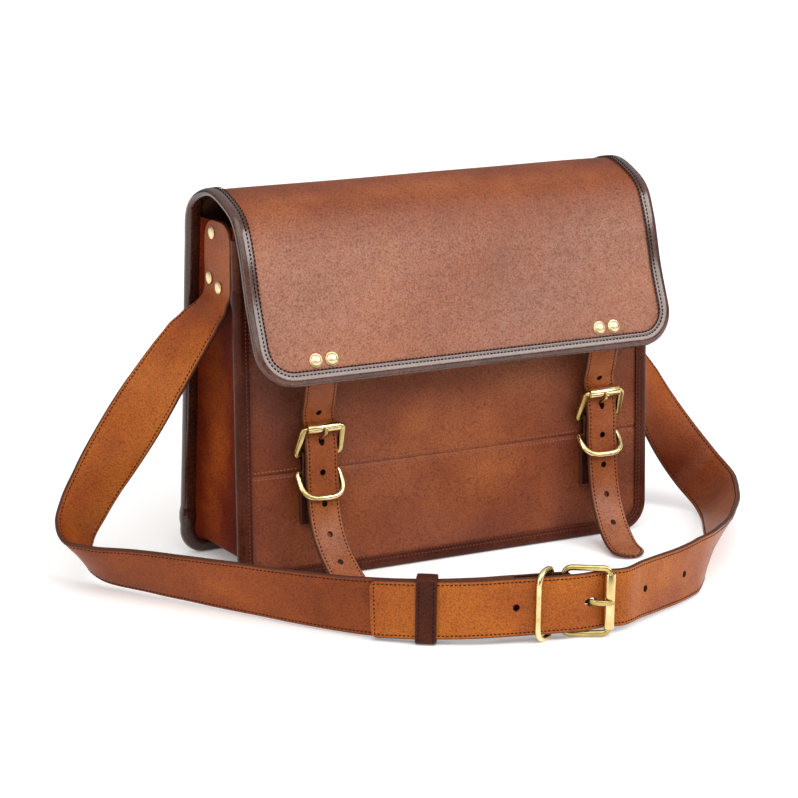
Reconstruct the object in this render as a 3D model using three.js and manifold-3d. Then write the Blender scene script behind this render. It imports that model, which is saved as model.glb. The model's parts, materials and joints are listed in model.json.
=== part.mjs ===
// Leather satchel bag with a bound flap, two buckled closure straps and a buckled shoulder strap.
// Millimetres. X runs to the right, Y to the back and Z up. The origin is the middle of the front
// lower edge, on the surface that the bag stands on.
import * as THREE from 'three';
import Module from 'manifold-3d';
import { mergeVertices } from 'three/addons/utils/BufferGeometryUtils.js';

const wasm = await Module();
wasm.setup();

// ---- Driving dimensions ------------------------------------------------------------------------
const GAP = 0.3; // clearance between touching pieces
const BAG_WIDTH = 320;
const HALF_WIDTH = BAG_WIDTH / 2;
const LEATHER = 2.4; // body leather
const TAPE = 1.2; // edge binding leather
const BINDING_WIDTH = 9.5;
const FRONT_HEIGHT = 230;
const FRONT_LEAN = 12 / 235; // the front panel leans back by this slope
const FRONT_CORNER = 20;
const SEAM_HEIGHT = 74; // cross seam of the front panel
const BACK_CORNER = 17;
const FLAP_CORNER = 26;
const HINGE_LENGTH = 238; // leather from the back lower edge to the line where the flap bends
const HINGE_STAND_OFF = 3.6; // hinge axis behind the middle of the leather
const GUSSET_INSET = 10; // gusset wall in from the bound edges
const GUSSET_TOP = 234;
const CLOSURE_WIDTH = 24;
const CLOSURE_LEATHER = 2.6;
const SHOULDER_WIDTH = 38;
const SHOULDER_LEATHER = 3;
const TAB_TOP = 236;
const TAB_BOTTOM = 183;
const TAB_CENTRE_Y = 50;

// Middle of the leather from the back lower edge, over the top, to the flap's free edge: [y, z].
const BACK_AND_FLAP_LINE = [
  [92.5, 0.25], [88.4, 94], [84.3, 215], [82.3, 238], [71.8, 248.6], [50.2, 255.4],
  [30.2, 250.4], [15.2, 241.8], [5.6, 223.8], [-5.4, 189.3], [-17.1, 161.3], [-25.4, 139.7],
];

// Closure buckles: strap centre at the flap rivets and at the buckle, and the tail's route: [x, y, z].
const HEEL_HEIGHT = 86;
const CLOSURES = [
  {
    side: 'left',
    rivetX: -112,
    buckleX: -103.5,
    loopOut: 14.6,
    loopDrop: 28,
    tail: [[-103.5, -6.5, 60], [-103.5, -9.5, 47], [-103.5, -16.5, 33], [-103, -29, 19.5],
      [-102, -46, 8.5], [-101, -66, 2.6]],
  },
  {
    side: 'right',
    rivetX: 106,
    buckleX: 116,
    loopOut: 15.4,
    loopDrop: 24.5,
    tail: [[116, -6.5, 60], [116, -8.5, 47], [115.5, -14, 31], [114.5, -25, 14.5],
      [112, -40, 5], [109, -59, 2.3]],
  },
];

// Shoulder strap: middle of the strap and the direction from its lower to its upper edge.
const SHOULDER_LEFT = [
  [-158.4, 50, 186, 0, 1, 0], [-163, 50.5, 174, -0.1, 0.99, 0.05], [-173, 51, 162, -0.28, 0.93, 0.25],
  [-195, 53, 132, -0.49, 0.77, 0.41], [-214, 60, 99, -0.77, 0.41, 0.5], [-231, 69, 66, -0.89, 0.05, 0.46],
  [-240, 71, 49, -0.89, -0.08, 0.45], [-248, 68, 35, -0.83, -0.27, 0.49], [-252, 57, 24, -0.67, -0.38, 0.64],
  [-245, 42, 19, -0.5, -0.36, 0.79], [-225, 12, 19, -0.42, -0.26, 0.87], [-190, -42, 19.6, -0.26, -0.17, 0.95],
  [-153, -97, 20, -0.12, -0.08, 0.99], [-130, -124, 20.6, 0, 0, 1], [-105, -145, 22, 0, 0, 1],
  [-80, -160.5, 23.5, 0, 0, 1], [-56, -168, 24, 0, 0, 1],
];
const SHOULDER_RIGHT = [
  [158.4, 50, 186, 0, 1, 0], [163, 50.5, 171, 0.08, 0.99, 0.05], [169, 51, 152, 0.15, 0.98, 0.1],
  [174, 51, 133, 0.3, 0.93, 0.18], [180, 50, 114, 0.52, 0.81, 0.26], [188, 48, 93, 0.78, 0.5, 0.36],
  [197.5, 45, 71, 0.86, 0.22, 0.46], [210, 40, 49.5, 0.85, -0.02, 0.53], [222, 31, 30, 0.77, -0.26, 0.58],
  [224, 11, 19, 0.65, -0.34, 0.68], [213, -12, 17.5, 0.57, -0.31, 0.76], [199, -34, 18.5, 0.54, -0.3, 0.79],
  [184, -56, 18.8, 0.5, -0.3, 0.81], [169, -75, 19, 0.44, -0.3, 0.85], [153, -94, 19.4, 0.38, -0.3, 0.87],
  [137, -111, 19.7, 0.27, -0.28, 0.92], [121, -128, 20, 0.12, -0.15, 0.98], [102, -143, 20.3, 0, 0, 1],
  [80, -156, 21, 0, 0, 1], [56, -167.5, 22.4, 0, 0, 1], [34, -177, 23.5, 0, 0, 1],
];
// The shoulder buckle's heel bar, and the turn of the strap there.
const SHOULDER_HEEL = [-24, -176, 24];
const SHOULDER_TURN = THREE.MathUtils.degToRad(-14);
// The strap's tail in the buckle's own directions: [along, outward] from the heel bar.
const TAIL_IN_BUCKLE = [[40, 0.4], [28, 1.4], [18, 4], [8, 6.3], [0, 6.6], [-22, 6.4], [-42, 5.8]];
const TAIL_BEYOND = [[-82.5, -165.2, 23.5], [-108, -149.4, 22.3], [-134.5, -126.8, 20.8]];

// ---- Materials ---------------------------------------------------------------------------------
const bodyLeather = new THREE.MeshStandardMaterial({ color: 0x7a3a22, roughness: 0.5, metalness: 0 });
const gussetLeather = new THREE.MeshStandardMaterial({ color: 0x6e2410, roughness: 0.5, metalness: 0 });
const bindingLeather = new THREE.MeshStandardMaterial({ color: 0x2c1813, roughness: 0.4, metalness: 0 });
const strapLeather = new THREE.MeshStandardMaterial({ color: 0x9a4a1e, roughness: 0.5, metalness: 0 });
const darkLeather = new THREE.MeshStandardMaterial({ color: 0x3d1a10, roughness: 0.5, metalness: 0 });
const brass = new THREE.MeshStandardMaterial({ color: 0xb5974f, roughness: 0.3, metalness: 1 });

// ---- Solids ------------------------------------------------------------------------------------
function vec(x, y, z) {
  return new THREE.Vector3(x, y, z);
}

function signedVolume(points, index) {
  let volume = 0;
  for (let i = 0; i < index.length; i += 3) {
    const [a, b, c] = [points[index[i]], points[index[i + 1]], points[index[i + 2]]];
    volume += a.dot(b.clone().cross(c)) / 6;
  }
  return volume;
}

// Closed solid through rings of points. An open run is capped by its section, given flat as [u, v].
function loft(rings, section, closed = false) {
  const count = section.length;
  const points = rings.flat();
  const index = [];
  const steps = closed ? rings.length : rings.length - 1;
  for (let i = 0; i < steps; i += 1) {
    const here = i * count;
    const next = ((i + 1) % rings.length) * count;
    for (let j = 0; j < count; j += 1) {
      const k = (j + 1) % count;
      index.push(here + j, next + j, next + k, here + j, next + k, here + k);
    }
  }
  if (!closed) {
    const flat = section.map(([u, v]) => new THREE.Vector2(u, v));
    const area = THREE.ShapeUtils.area(flat);
    const last = (rings.length - 1) * count;
    for (const [a, b, c] of THREE.ShapeUtils.triangulateShape(flat, [])) {
      const sameTurn = area * THREE.ShapeUtils.area([flat[a], flat[b], flat[c]]) > 0;
      const [p, q, r] = sameTurn ? [a, b, c] : [c, b, a];
      index.push(p, q, r, last + r, last + q, last + p);
    }
  }
  if (signedVolume(points, index) < 0) index.reverse();
  const geometry = new THREE.BufferGeometry();
  geometry.setAttribute('position', new THREE.Float32BufferAttribute(points.flatMap((p) => p.toArray()), 3));
  geometry.setIndex(index);
  return geometry;
}

function toManifold(geometry) {
  const bare = geometry.clone();
  bare.deleteAttribute('normal');
  bare.deleteAttribute('uv');
  const merged = mergeVertices(bare, 1e-5);
  const vertProperties = Float32Array.from(merged.attributes.position.array);
  const triVerts = Uint32Array.from(merged.index.array);
  return new wasm.Manifold(new wasm.Mesh({ numProp: 3, vertProperties, triVerts }));
}

function cut(geometry, cutters) {
  let solid = toManifold(geometry);
  for (const cutter of cutters) solid = solid.subtract(toManifold(cutter));
  const mesh = solid.getMesh();
  const result = new THREE.BufferGeometry();
  result.setAttribute('position', new THREE.Float32BufferAttribute(mesh.vertProperties, 3));
  result.setIndex(Array.from(mesh.triVerts));
  return result;
}

// Round or slotted cutter, centred on a point and pointing along an axis.
function drill(centre, axis, radius, length, stretchX = 1, stretchZ = 1) {
  const geometry = new THREE.CylinderGeometry(radius, radius, length, 8);
  geometry.scale(stretchX, 1, stretchZ);
  geometry.applyQuaternion(new THREE.Quaternion().setFromUnitVectors(vec(0, 1, 0), axis));
  geometry.translate(centre.x, centre.y, centre.z);
  return geometry;
}

// Round wire swept along a closed or open run of points that lie in one plane.
function sweepRound(points, radius, closed, sides) {
  const run = closed && points[0].distanceTo(points.at(-1)) < 1e-6 ? points.slice(0, -1) : points;
  const count = run.length;
  const centre = run.reduce((sum, p) => sum.add(p), vec(0, 0, 0)).divideScalar(count);
  const first = run[1].clone().sub(run[0]);
  const plane = first.cross(run[Math.floor(count / 2)].clone().sub(run[0])).normalize();
  const section = Array.from({ length: sides }, (_, k) => {
    const angle = ((k + 0.5) / sides) * 2 * Math.PI;
    return [radius * Math.cos(angle), radius * Math.sin(angle)];
  });
  const rings = run.map((point, i) => {
    const before = closed ? run[(i + count - 1) % count] : run[Math.max(i - 1, 0)];
    const after = closed ? run[(i + 1) % count] : run[Math.min(i + 1, count - 1)];
    const along = after.clone().sub(before).normalize();
    const outward = along.clone().cross(plane).normalize();
    if (outward.dot(point.clone().sub(centre)) < 0) outward.negate();
    return section.map(([u, v]) => point.clone().addScaledVector(outward, u).addScaledVector(plane, v));
  });
  return loft(rings, section, closed);
}

// Points of a rounded outline: each corner is [across, along, radius], joined by straight runs.
function roundedLoop(corners, arcSteps = 3) {
  const points = [];
  corners.forEach(([u, v, radius], i) => {
    const corner = new THREE.Vector2(u, v);
    const before = new THREE.Vector2(...corners[(i + corners.length - 1) % corners.length]);
    const after = new THREE.Vector2(...corners[(i + 1) % corners.length]);
    const toBefore = before.sub(corner).normalize();
    const toAfter = after.sub(corner).normalize();
    const half = Math.acos(THREE.MathUtils.clamp(toBefore.dot(toAfter), -1, 1)) / 2;
    const reach = radius / Math.tan(half);
    const start = corner.clone().addScaledVector(toBefore, reach);
    const end = corner.clone().addScaledVector(toAfter, reach);
    const middle = toBefore.clone().add(toAfter).normalize();
    const centre = corner.clone().addScaledVector(middle, radius / Math.sin(half));
    const from = Math.atan2(start.y - centre.y, start.x - centre.x);
    let sweep = Math.atan2(end.y - centre.y, end.x - centre.x) - from;
    sweep = Math.atan2(Math.sin(sweep), Math.cos(sweep));
    for (let k = 0; k <= arcSteps; k += 1) {
      const angle = from + (sweep * k) / arcSteps;
      points.push([centre.x + radius * Math.cos(angle), centre.y + radius * Math.sin(angle)]);
    }
  });
  return points;
}

// Flat strap: stations of middle point, width direction and width, with a rectangular section.
function strap(stations, thickness) {
  const section = [[-1, -1], [1, -1], [1, 1], [-1, 1]];
  const rings = stations.map(({ point, across, width }, i) => {
    const before = stations[Math.max(i - 1, 0)].point;
    const after = stations[Math.min(i + 1, stations.length - 1)].point;
    const along = after.clone().sub(before).normalize();
    const side = across.clone().addScaledVector(along, -along.dot(across)).normalize();
    const face = along.clone().cross(side);
    return section.map(([u, v]) => point.clone()
      .addScaledVector(side, (u * width) / 2)
      .addScaledVector(face, (v * thickness) / 2));
  });
  return loft(rings, section);
}

// A strap's route: place, width direction and face at any length along its middle.
function makeRun(points, acrosses) {
  const middle = new THREE.CatmullRomCurve3(points, false, 'centripetal');
  middle.arcLengthDivisions = 600;
  const total = middle.getLength();
  const at = (length) => {
    const u = THREE.MathUtils.clamp(length / total, 0, 1);
    const t = middle.getUtoTmapping(u) * (points.length - 1);
    const k = Math.min(Math.floor(t), points.length - 2);
    const along = middle.getTangentAt(u);
    const across = acrosses[k].clone().lerp(acrosses[k + 1], t - k);
    across.addScaledVector(along, -along.dot(across)).normalize();
    return { point: middle.getPointAt(u), along, across, face: along.clone().cross(across) };
  };
  const nearest = (target) => {
    let best = 0;
    for (let length = 0; length <= total; length += 0.25) {
      if (at(length).point.distanceTo(target) < at(best).point.distanceTo(target)) best = length;
    }
    return best;
  };
  return { total, at, nearest };
}

// Even stations along a run, with an optional rounded far end.
function runStations(run, width, steps, roundLength = 0) {
  const stations = [];
  for (let i = 0; i <= steps; i += 1) {
    stations.push({ ...run.at(((run.total - roundLength) * i) / steps), width });
  }
  const roundSteps = roundLength > 0 ? 4 : 0;
  for (let i = 1; i <= roundSteps; i += 1) {
    const angle = (i / roundSteps) * Math.PI * 0.42;
    const length = run.total - roundLength * (1 - Math.sin(angle));
    stations.push({ ...run.at(length), width: width * Math.cos(angle) });
  }
  return stations;
}

// ---- Leather shapes that share an edge binding --------------------------------------------------
const leatherLine = new THREE.CatmullRomCurve3(
  BACK_AND_FLAP_LINE.map(([y, z]) => vec(0, y, z)), false, 'centripetal');
leatherLine.arcLengthDivisions = 800;
const LINE_LENGTH = leatherLine.getLength();

// A place on the back and flap leather: across, along from the back lower edge, and outward.
function onLeather(x, along, outward) {
  const u = THREE.MathUtils.clamp(along / LINE_LENGTH, 0, 1);
  const point = leatherLine.getPointAt(u);
  const run = leatherLine.getTangentAt(u);
  return vec(x, point.y + outward * run.z, point.z - outward * run.y);
}

const onBack = (x, rise, outward) => onLeather(x, rise, outward);
const onFlap = (x, rise, outward) => onLeather(x, LINE_LENGTH - rise, outward);

// A place on the front panel: across, up, and in front of the middle of its leather.
const FRONT_MIDDLE = TAPE + GAP + LEATHER / 2;
const frontFace = (z) => z * FRONT_LEAN;
const onFront = (x, rise, outward) => vec(x, frontFace(rise) + FRONT_MIDDLE - outward, rise);

const CORNER_STEPS = 6;

// Leather plate between two heights above its rounded lower edge.
function plate(place, radius, inset, rises, rounded = true) {
  const rows = [];
  const inner = radius - inset;
  if (rounded) {
    for (let k = 0; k < CORNER_STEPS; k += 1) {
      const angle = (k / CORNER_STEPS) * (Math.PI / 2);
      rows.push([radius - inner * Math.cos(angle), HALF_WIDTH - radius + inner * Math.sin(angle)]);
    }
  }
  rises.forEach((rise) => rows.push([rise, HALF_WIDTH - inset]));
  const half = LEATHER / 2;
  const rings = rows.map(([rise, across]) => [
    place(-across, rise, -half), place(across, rise, -half),
    place(across, rise, half), place(-across, rise, half),
  ]);
  return loft(rings, [[-1, -1], [1, -1], [1, 1], [-1, 1]]);
}

// Outline stations from the top of the left side, round the lower edge, to the top of the right side.
function outline(radius, rises) {
  const stations = [];
  const falling = rises.slice().reverse();
  falling.forEach((rise) => stations.push({ x: -HALF_WIDTH, rise, inX: 1, inRise: 0 }));
  for (const side of [-1, 1]) {
    for (let k = 0; k <= CORNER_STEPS; k += 1) {
      const angle = ((side < 0 ? CORNER_STEPS - k : k) / CORNER_STEPS) * (Math.PI / 2);
      stations.push({
        x: side * (HALF_WIDTH - radius + radius * Math.sin(angle)),
        rise: radius - radius * Math.cos(angle),
        inX: -side * Math.sin(angle),
        inRise: Math.cos(angle),
      });
    }
  }
  rises.forEach((rise) => stations.push({ x: HALF_WIDTH, rise, inX: -1, inRise: 0 }));
  return stations;
}

// Folded tape round the edge: a channel whose groove holds everything that is sewn into it.
function binding(place, radius, rises, front, back) {
  const grooveDepth = BINDING_WIDTH - TAPE - 0.4;
  const floor = BINDING_WIDTH - grooveDepth;
  const section = [
    [0, front + TAPE], [BINDING_WIDTH, front + TAPE], [BINDING_WIDTH, front], [floor, front],
    [floor, -back], [BINDING_WIDTH, -back], [BINDING_WIDTH, -back - TAPE], [0, -back - TAPE],
  ];
  const rings = outline(radius, rises).map(({ x, rise, inX, inRise }) => section
    .map(([inward, outward]) => place(x + inward * inX, rise + inward * inRise, outward)));
  return loft(rings, section);
}

// ---- The bag -----------------------------------------------------------------------------------
const bag = new THREE.Group();

function faceOut(geometry) {
  if (!geometry.index) geometry.setIndex([...Array(geometry.attributes.position.count).keys()]);
  const position = geometry.attributes.position;
  const points = Array.from({ length: position.count }, (_, i) => vec().fromBufferAttribute(position, i));
  const index = Array.from(geometry.index.array);
  if (signedVolume(points, index) < 0) geometry.setIndex(index.reverse());
  return geometry;
}

function add(name, geometry, material, parent = bag) {
  const mesh = new THREE.Mesh(faceOut(geometry), material);
  mesh.name = name;
  parent.add(mesh);
  return mesh;
}

const PLATE_INSET = TAPE + 0.4 + GAP;
const GROOVE = LEATHER / 2 + GAP;
const GUSSET_LEATHER = 2;
const GUSSET_GROOVE = GROOVE + GUSSET_LEATHER + GAP;
const FLAP_LENGTH = LINE_LENGTH - HINGE_LENGTH;
const SIDE_RISES = [60, 110, 160, 205, 213, 220, 227, GUSSET_TOP];
const BACK_RISES = [BACK_CORNER, ...SIDE_RISES, HINGE_LENGTH - GAP];
const ARCH_START = 88;
const ARCH_STEPS = 14;
const FLAP_RISES = [FLAP_CORNER, 50, 70];
for (let i = 0; i <= ARCH_STEPS; i += 1) {
  FLAP_RISES.push(ARCH_START + ((FLAP_LENGTH - GAP - ARCH_START) * i) / ARCH_STEPS);
}

// Rivets through the flap and each closure strap: height above the flap's edge, and their spacing.
const FLAP_RIVET_RISE = 15.5;
const FLAP_RIVET_SPACING = 11.7;
const FLAP_RIVET_HEAD = 4.6;
const FLAP_RIVET_SHANK = 1.6;
const CLOSURE_OFFSET = -5; // middle of the closure strap behind the middle of the flap leather
const flapRivets = CLOSURES.flatMap(({ side, rivetX }) => [-0.5, 0.5].map((step, i) => ({
  name: `flap_rivet_${side}_${i + 1}`,
  x: rivetX + step * FLAP_RIVET_SPACING,
})));

// Rivet as one turned piece: shank along +Y from a burr below zero to a domed head above the stack.
function rivet(stack, headRadius, shankRadius) {
  const profile = [
    [0, -1.5], [headRadius * 0.72, -1.5], [headRadius * 0.72, -GAP], [shankRadius, -GAP],
    [shankRadius, stack + GAP], [headRadius, stack + GAP], [headRadius * 0.86, stack + GAP + 1.3],
    [headRadius * 0.5, stack + GAP + 2.2], [0, stack + GAP + 2.5],
  ];
  return new THREE.LatheGeometry(profile.map(([r, y]) => new THREE.Vector2(r, y)), 12);
}

function placeAlong(geometry, base, direction) {
  geometry.applyQuaternion(new THREE.Quaternion().setFromUnitVectors(vec(0, 1, 0), direction));
  geometry.translate(base.x, base.y, base.z);
  return geometry;
}

function addBody() {
  add('back_panel', plate(onBack, BACK_CORNER, PLATE_INSET, BACK_RISES), bodyLeather);
  add('back_binding', binding(onBack, BACK_CORNER, BACK_RISES, GROOVE, GUSSET_GROOVE), bindingLeather);
  const holes = flapRivets.map(({ x }) => {
    const outside = onFlap(x, FLAP_RIVET_RISE, 1);
    const middle = onFlap(x, FLAP_RIVET_RISE, 0);
    return drill(middle, outside.sub(middle).normalize(), FLAP_RIVET_SHANK + GAP, 12);
  });
  add('flap_leather', cut(plate(onFlap, FLAP_CORNER, PLATE_INSET, FLAP_RISES), holes), bodyLeather);
  add('flap_binding', binding(onFlap, FLAP_CORNER, FLAP_RISES, GROOVE, GROOVE), bindingLeather);

  const seam = [FRONT_CORNER, SEAM_HEIGHT - GAP / 2];
  const above = [SEAM_HEIGHT + GAP / 2, FRONT_HEIGHT];
  add('front_panel_lower', plate(onFront, FRONT_CORNER, PLATE_INSET, seam), bodyLeather);
  add('front_panel_upper', plate(onFront, FRONT_CORNER, PLATE_INSET, above, false), bodyLeather);
  const frontRises = [FRONT_CORNER, SEAM_HEIGHT, 150, FRONT_HEIGHT];
  add('front_binding', binding(onFront, FRONT_CORNER, frontRises, GROOVE, GUSSET_GROOVE), bindingLeather);
}

// Side tabs: where the shoulder strap is riveted to each end of the bag: [y, z] of the rivets.
const TAB_RIVETS = [[57.5, 227.5], [61, 197], [47.5, 192.5]];
const WALL_OUTER = HALF_WIDTH - GUSSET_INSET;
const TAB_INNER = WALL_OUTER + GAP;
const TAB_RIVET_SHANK = 1.5;
const TAB_RIVET_HEAD = 4.2;

// The gusset runs down one side, under the bag and up the other, with flanges turned outward.
function addGusset() {
  const inner = GUSSET_INSET + GUSSET_LEATHER;
  const edge = TAPE + 0.4 + GAP + 0.2;
  const frontY = (rise) => onFront(0, rise, -GROOVE).y;
  const backY = (rise) => onBack(0, rise, -GROOVE).y;
  const section = [
    [edge, 0, 0], [edge, 0, GUSSET_LEATHER], [GUSSET_INSET, 0, GUSSET_LEATHER],
    [GUSSET_INSET, 1, -GUSSET_LEATHER], [edge, 1, -GUSSET_LEATHER], [edge, 1, 0], [inner, 1, 0], [inner, 0, 0],
  ];
  const flat = section.map(([inward, end, offset]) => [inward, end * 80 + offset]);
  const rings = outline(FRONT_CORNER, [FRONT_CORNER, ...SIDE_RISES]).map(({ x, rise, inX, inRise }) => section
    .map(([inward, end, offset]) => {
      const z = rise + inward * inRise;
      return vec(x + inward * inX, (end === 0 ? frontY(z) : backY(z)) + offset, z);
    }));
  const holes = [-1, 1].flatMap((side) => TAB_RIVETS.map(([y, z]) => drill(
    vec(side * WALL_OUTER, y, z), vec(1, 0, 0), TAB_RIVET_SHANK + GAP, 12)));
  add('gusset', cut(loft(rings, flat), holes), gussetLeather);
}

// Tab outline: straight sides with a rounded upper end.
function addTabs() {
  for (const [name, side] of [['left', -1], ['right', 1]]) {
    const stations = [];
    const roundRise = 9;
    const upTo = (z, width) => stations.push({
      point: vec(side * (TAB_INNER + SHOULDER_LEATHER / 2), TAB_CENTRE_Y, z),
      across: vec(0, 1, 0),
      width,
    });
    upTo(TAB_BOTTOM, SHOULDER_WIDTH);
    upTo(TAB_TOP - roundRise, SHOULDER_WIDTH);
    for (const angle of [25, 50, 75]) {
      const turn = THREE.MathUtils.degToRad(angle);
      upTo(TAB_TOP - roundRise + roundRise * Math.sin(turn), SHOULDER_WIDTH * (0.45 + 0.55 * Math.cos(turn)));
    }
    const holes = TAB_RIVETS.map(([y, z]) => drill(
      vec(side * TAB_INNER, y, z), vec(1, 0, 0), TAB_RIVET_SHANK + GAP, 12));
    add(`shoulder_tab_${name}`, cut(strap(stations, SHOULDER_LEATHER), holes), strapLeather);
    TAB_RIVETS.forEach(([y, z], i) => {
      const stack = GUSSET_LEATHER + GAP + SHOULDER_LEATHER;
      const base = vec(side * (WALL_OUTER - GUSSET_LEATHER), y, z);
      const shape = placeAlong(rivet(stack, TAB_RIVET_HEAD, TAB_RIVET_SHANK), base, vec(side, 0, 0));
      add(`tab_rivet_${name}_${i + 1}`, shape, brass);
    });
  }
}

// ---- Closure straps and their buckles ------------------------------------------------------------
const HOLE_RADIUS = 2.1;
const HOLE_SPACING = 21;
const SLOT_STRETCH = 1.6; // the buckled hole is worn long
const faceY = (z) => onFront(0, z, LEATHER / 2).y;
// In front of the panel leather, and above the heel bar.
const HEEL_OUT = 4.4;
const HEEL_WIRE = 1.5;
const ROLLER_OUT = 12.6;
const ROLLER_RISE = 18.5;
const LOOP_OUT = 4;
const LOOP_RISE = -12;
const LOOP_WIRE = 1.4;
const LOOP_HALF_WIDTH = 15.2;
const FRAME_HEEL_HALF = 15.6;
const FRAME_ROLLER_HALF = 13.6;
const CLOSURE_ROLLER = { outer: 2.9, inner: 1.9, length: 23 };
const CLOSURE_TONGUE_WIDTH = 3.2;
const TONGUE_METAL = 1.8;
const CLOSURE_CHAPE_WIDTH = 25.8;

function closureRun({ rivetX, buckleX, tail }) {
  const onStrap = (x, z, out) => vec(x, faceY(z) - out, z);
  const middleX = (share) => rivetX + (buckleX - rivetX) * share;
  const points = [
    onFlap(rivetX, 34, CLOSURE_OFFSET), onFlap(rivetX, 20, CLOSURE_OFFSET), onFlap(rivetX, 7, CLOSURE_OFFSET),
    onStrap(middleX(0.35), 128, 19), onStrap(middleX(0.75), 114.5, 9.6),
    onStrap(buckleX, HEEL_HEIGHT + ROLLER_RISE, 7.4), onStrap(buckleX, HEEL_HEIGHT + 9.5, 8.9),
    onStrap(buckleX, HEEL_HEIGHT, 9.9), onStrap(buckleX, HEEL_HEIGHT + LOOP_RISE, 9.9),
    ...tail.map((p) => vec(...p)),
  ];
  return makeRun(points, points.map(() => vec(1, 0, 0)));
}

function addClosureStrap(closure) {
  const run = closureRun(closure);
  const stations = runStations(run, CLOSURE_WIDTH, 32, 11);
  const slotLength = run.nearest(vec(closure.buckleX, faceY(95.6) - 8.9, HEEL_HEIGHT + 9.6));
  const cutters = [-1, 1, 2, 3, 4].map((step) => {
    const { point, face } = run.at(slotLength + step * HOLE_SPACING);
    return drill(point, face, HOLE_RADIUS, 8);
  });
  const slot = run.at(slotLength);
  cutters.push(drill(slot.point, slot.face.negate(), HOLE_RADIUS, 8, 1, SLOT_STRETCH));
  for (const { x } of flapRivets.filter(({ name }) => name.includes(closure.side))) {
    const outside = onFlap(x, FLAP_RIVET_RISE, 1);
    const middle = onFlap(x, FLAP_RIVET_RISE, CLOSURE_OFFSET);
    cutters.push(drill(middle, outside.sub(middle).normalize(), FLAP_RIVET_SHANK + GAP, 8));
  }
  add(`closure_strap_${closure.side}`, cut(strap(stations, CLOSURE_LEATHER), cutters), strapLeather);
}

function addFlapRivets() {
  const inside = CLOSURE_OFFSET - CLOSURE_LEATHER / 2;
  for (const { name, x } of flapRivets) {
    const base = onFlap(x, FLAP_RIVET_RISE, inside);
    const direction = onFlap(x, FLAP_RIVET_RISE, LEATHER / 2).sub(base).normalize();
    const shape = rivet(LEATHER / 2 - inside, FLAP_RIVET_HEAD, FLAP_RIVET_SHANK);
    add(name, placeAlong(shape, base, direction), brass);
  }
}

// Bent strip that hooks round a bar at the origin and reaches out along a run of [out, up] points.
function tongue(barRadius, thickness, width, arm) {
  const radius = barRadius + GAP + thickness / 2;
  const path = [];
  for (let angle = 20; angle >= -245; angle -= 26.5) {
    const turn = THREE.MathUtils.degToRad(angle);
    path.push([radius * Math.cos(turn), radius * Math.sin(turn)]);
  }
  path.push(...arm);
  const across = vec(1, 0, 0);
  return strap(path.map(([out, up]) => ({ point: vec(0, -out, up), across, width })), thickness);
}

// Frame or loop of wire: an outline of [across, along] laid from one bar towards another.
function wireLoop(corners, radius, from, to) {
  const along = to.clone().sub(from).normalize();
  const points = roundedLoop(corners).map(([u, v]) => from.clone().addScaledVector(along, v).add(vec(u, 0, 0)));
  return sweepRound(points, radius, true, 8);
}

function roller({ outer, inner, length }) {
  const half = length / 2;
  const profile = [[inner, -half], [outer, -half], [outer, half], [inner, half], [inner, -half]];
  return new THREE.LatheGeometry(profile.map(([r, y]) => new THREE.Vector2(r, y)), 14);
}

// Folded leather that holds the heel bar and the loop: its outline from the side, as [out, up].
function closureChape() {
  const ply = 1.8;
  const back = GAP;
  const arc = (out, up, radius, from, to, steps) => Array.from({ length: steps + 1 }, (_, i) => {
    const turn = THREE.MathUtils.degToRad(from + ((to - from) * i) / steps);
    return [out + radius * Math.cos(turn), up + radius * Math.sin(turn)];
  });
  const shape = new THREE.Shape([
    [back, -48], [back + ply, -48], [back + ply + 0.4, -22],
    ...arc(LOOP_OUT, LOOP_RISE, 3.5, -60, 10, 4),
    ...arc(HEEL_OUT, 0, 3.7, -10, 120, 6),
    [back, 1.5],
  ].map(([u, v]) => new THREE.Vector2(u, v)));
  for (const [out, up, radius] of [[LOOP_OUT, LOOP_RISE, 1.7], [HEEL_OUT, 0, 1.9]]) {
    shape.holes.push(new THREE.Path(arc(out, up, radius, 0, 315, 7).map(([u, v]) => new THREE.Vector2(u, v))));
  }
  const geometry = new THREE.ExtrudeGeometry(shape, { depth: CLOSURE_CHAPE_WIDTH, bevelEnabled: false, steps: 1 });
  geometry.translate(0, 0, -CLOSURE_CHAPE_WIDTH / 2);
  // The side view [out, up] with its depth becomes depth across, -Y out and Z up.
  geometry.applyMatrix4(new THREE.Matrix4().set(0, 0, -1, 0, -1, 0, 0, 0, 0, 1, 0, 0, 0, 0, 0, 1));
  const notch = new THREE.BoxGeometry(4.6, 30, 12);
  notch.translate(0, 0, 6 - 4.2);
  return cut(faceOut(geometry), [notch]);
}

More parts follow.
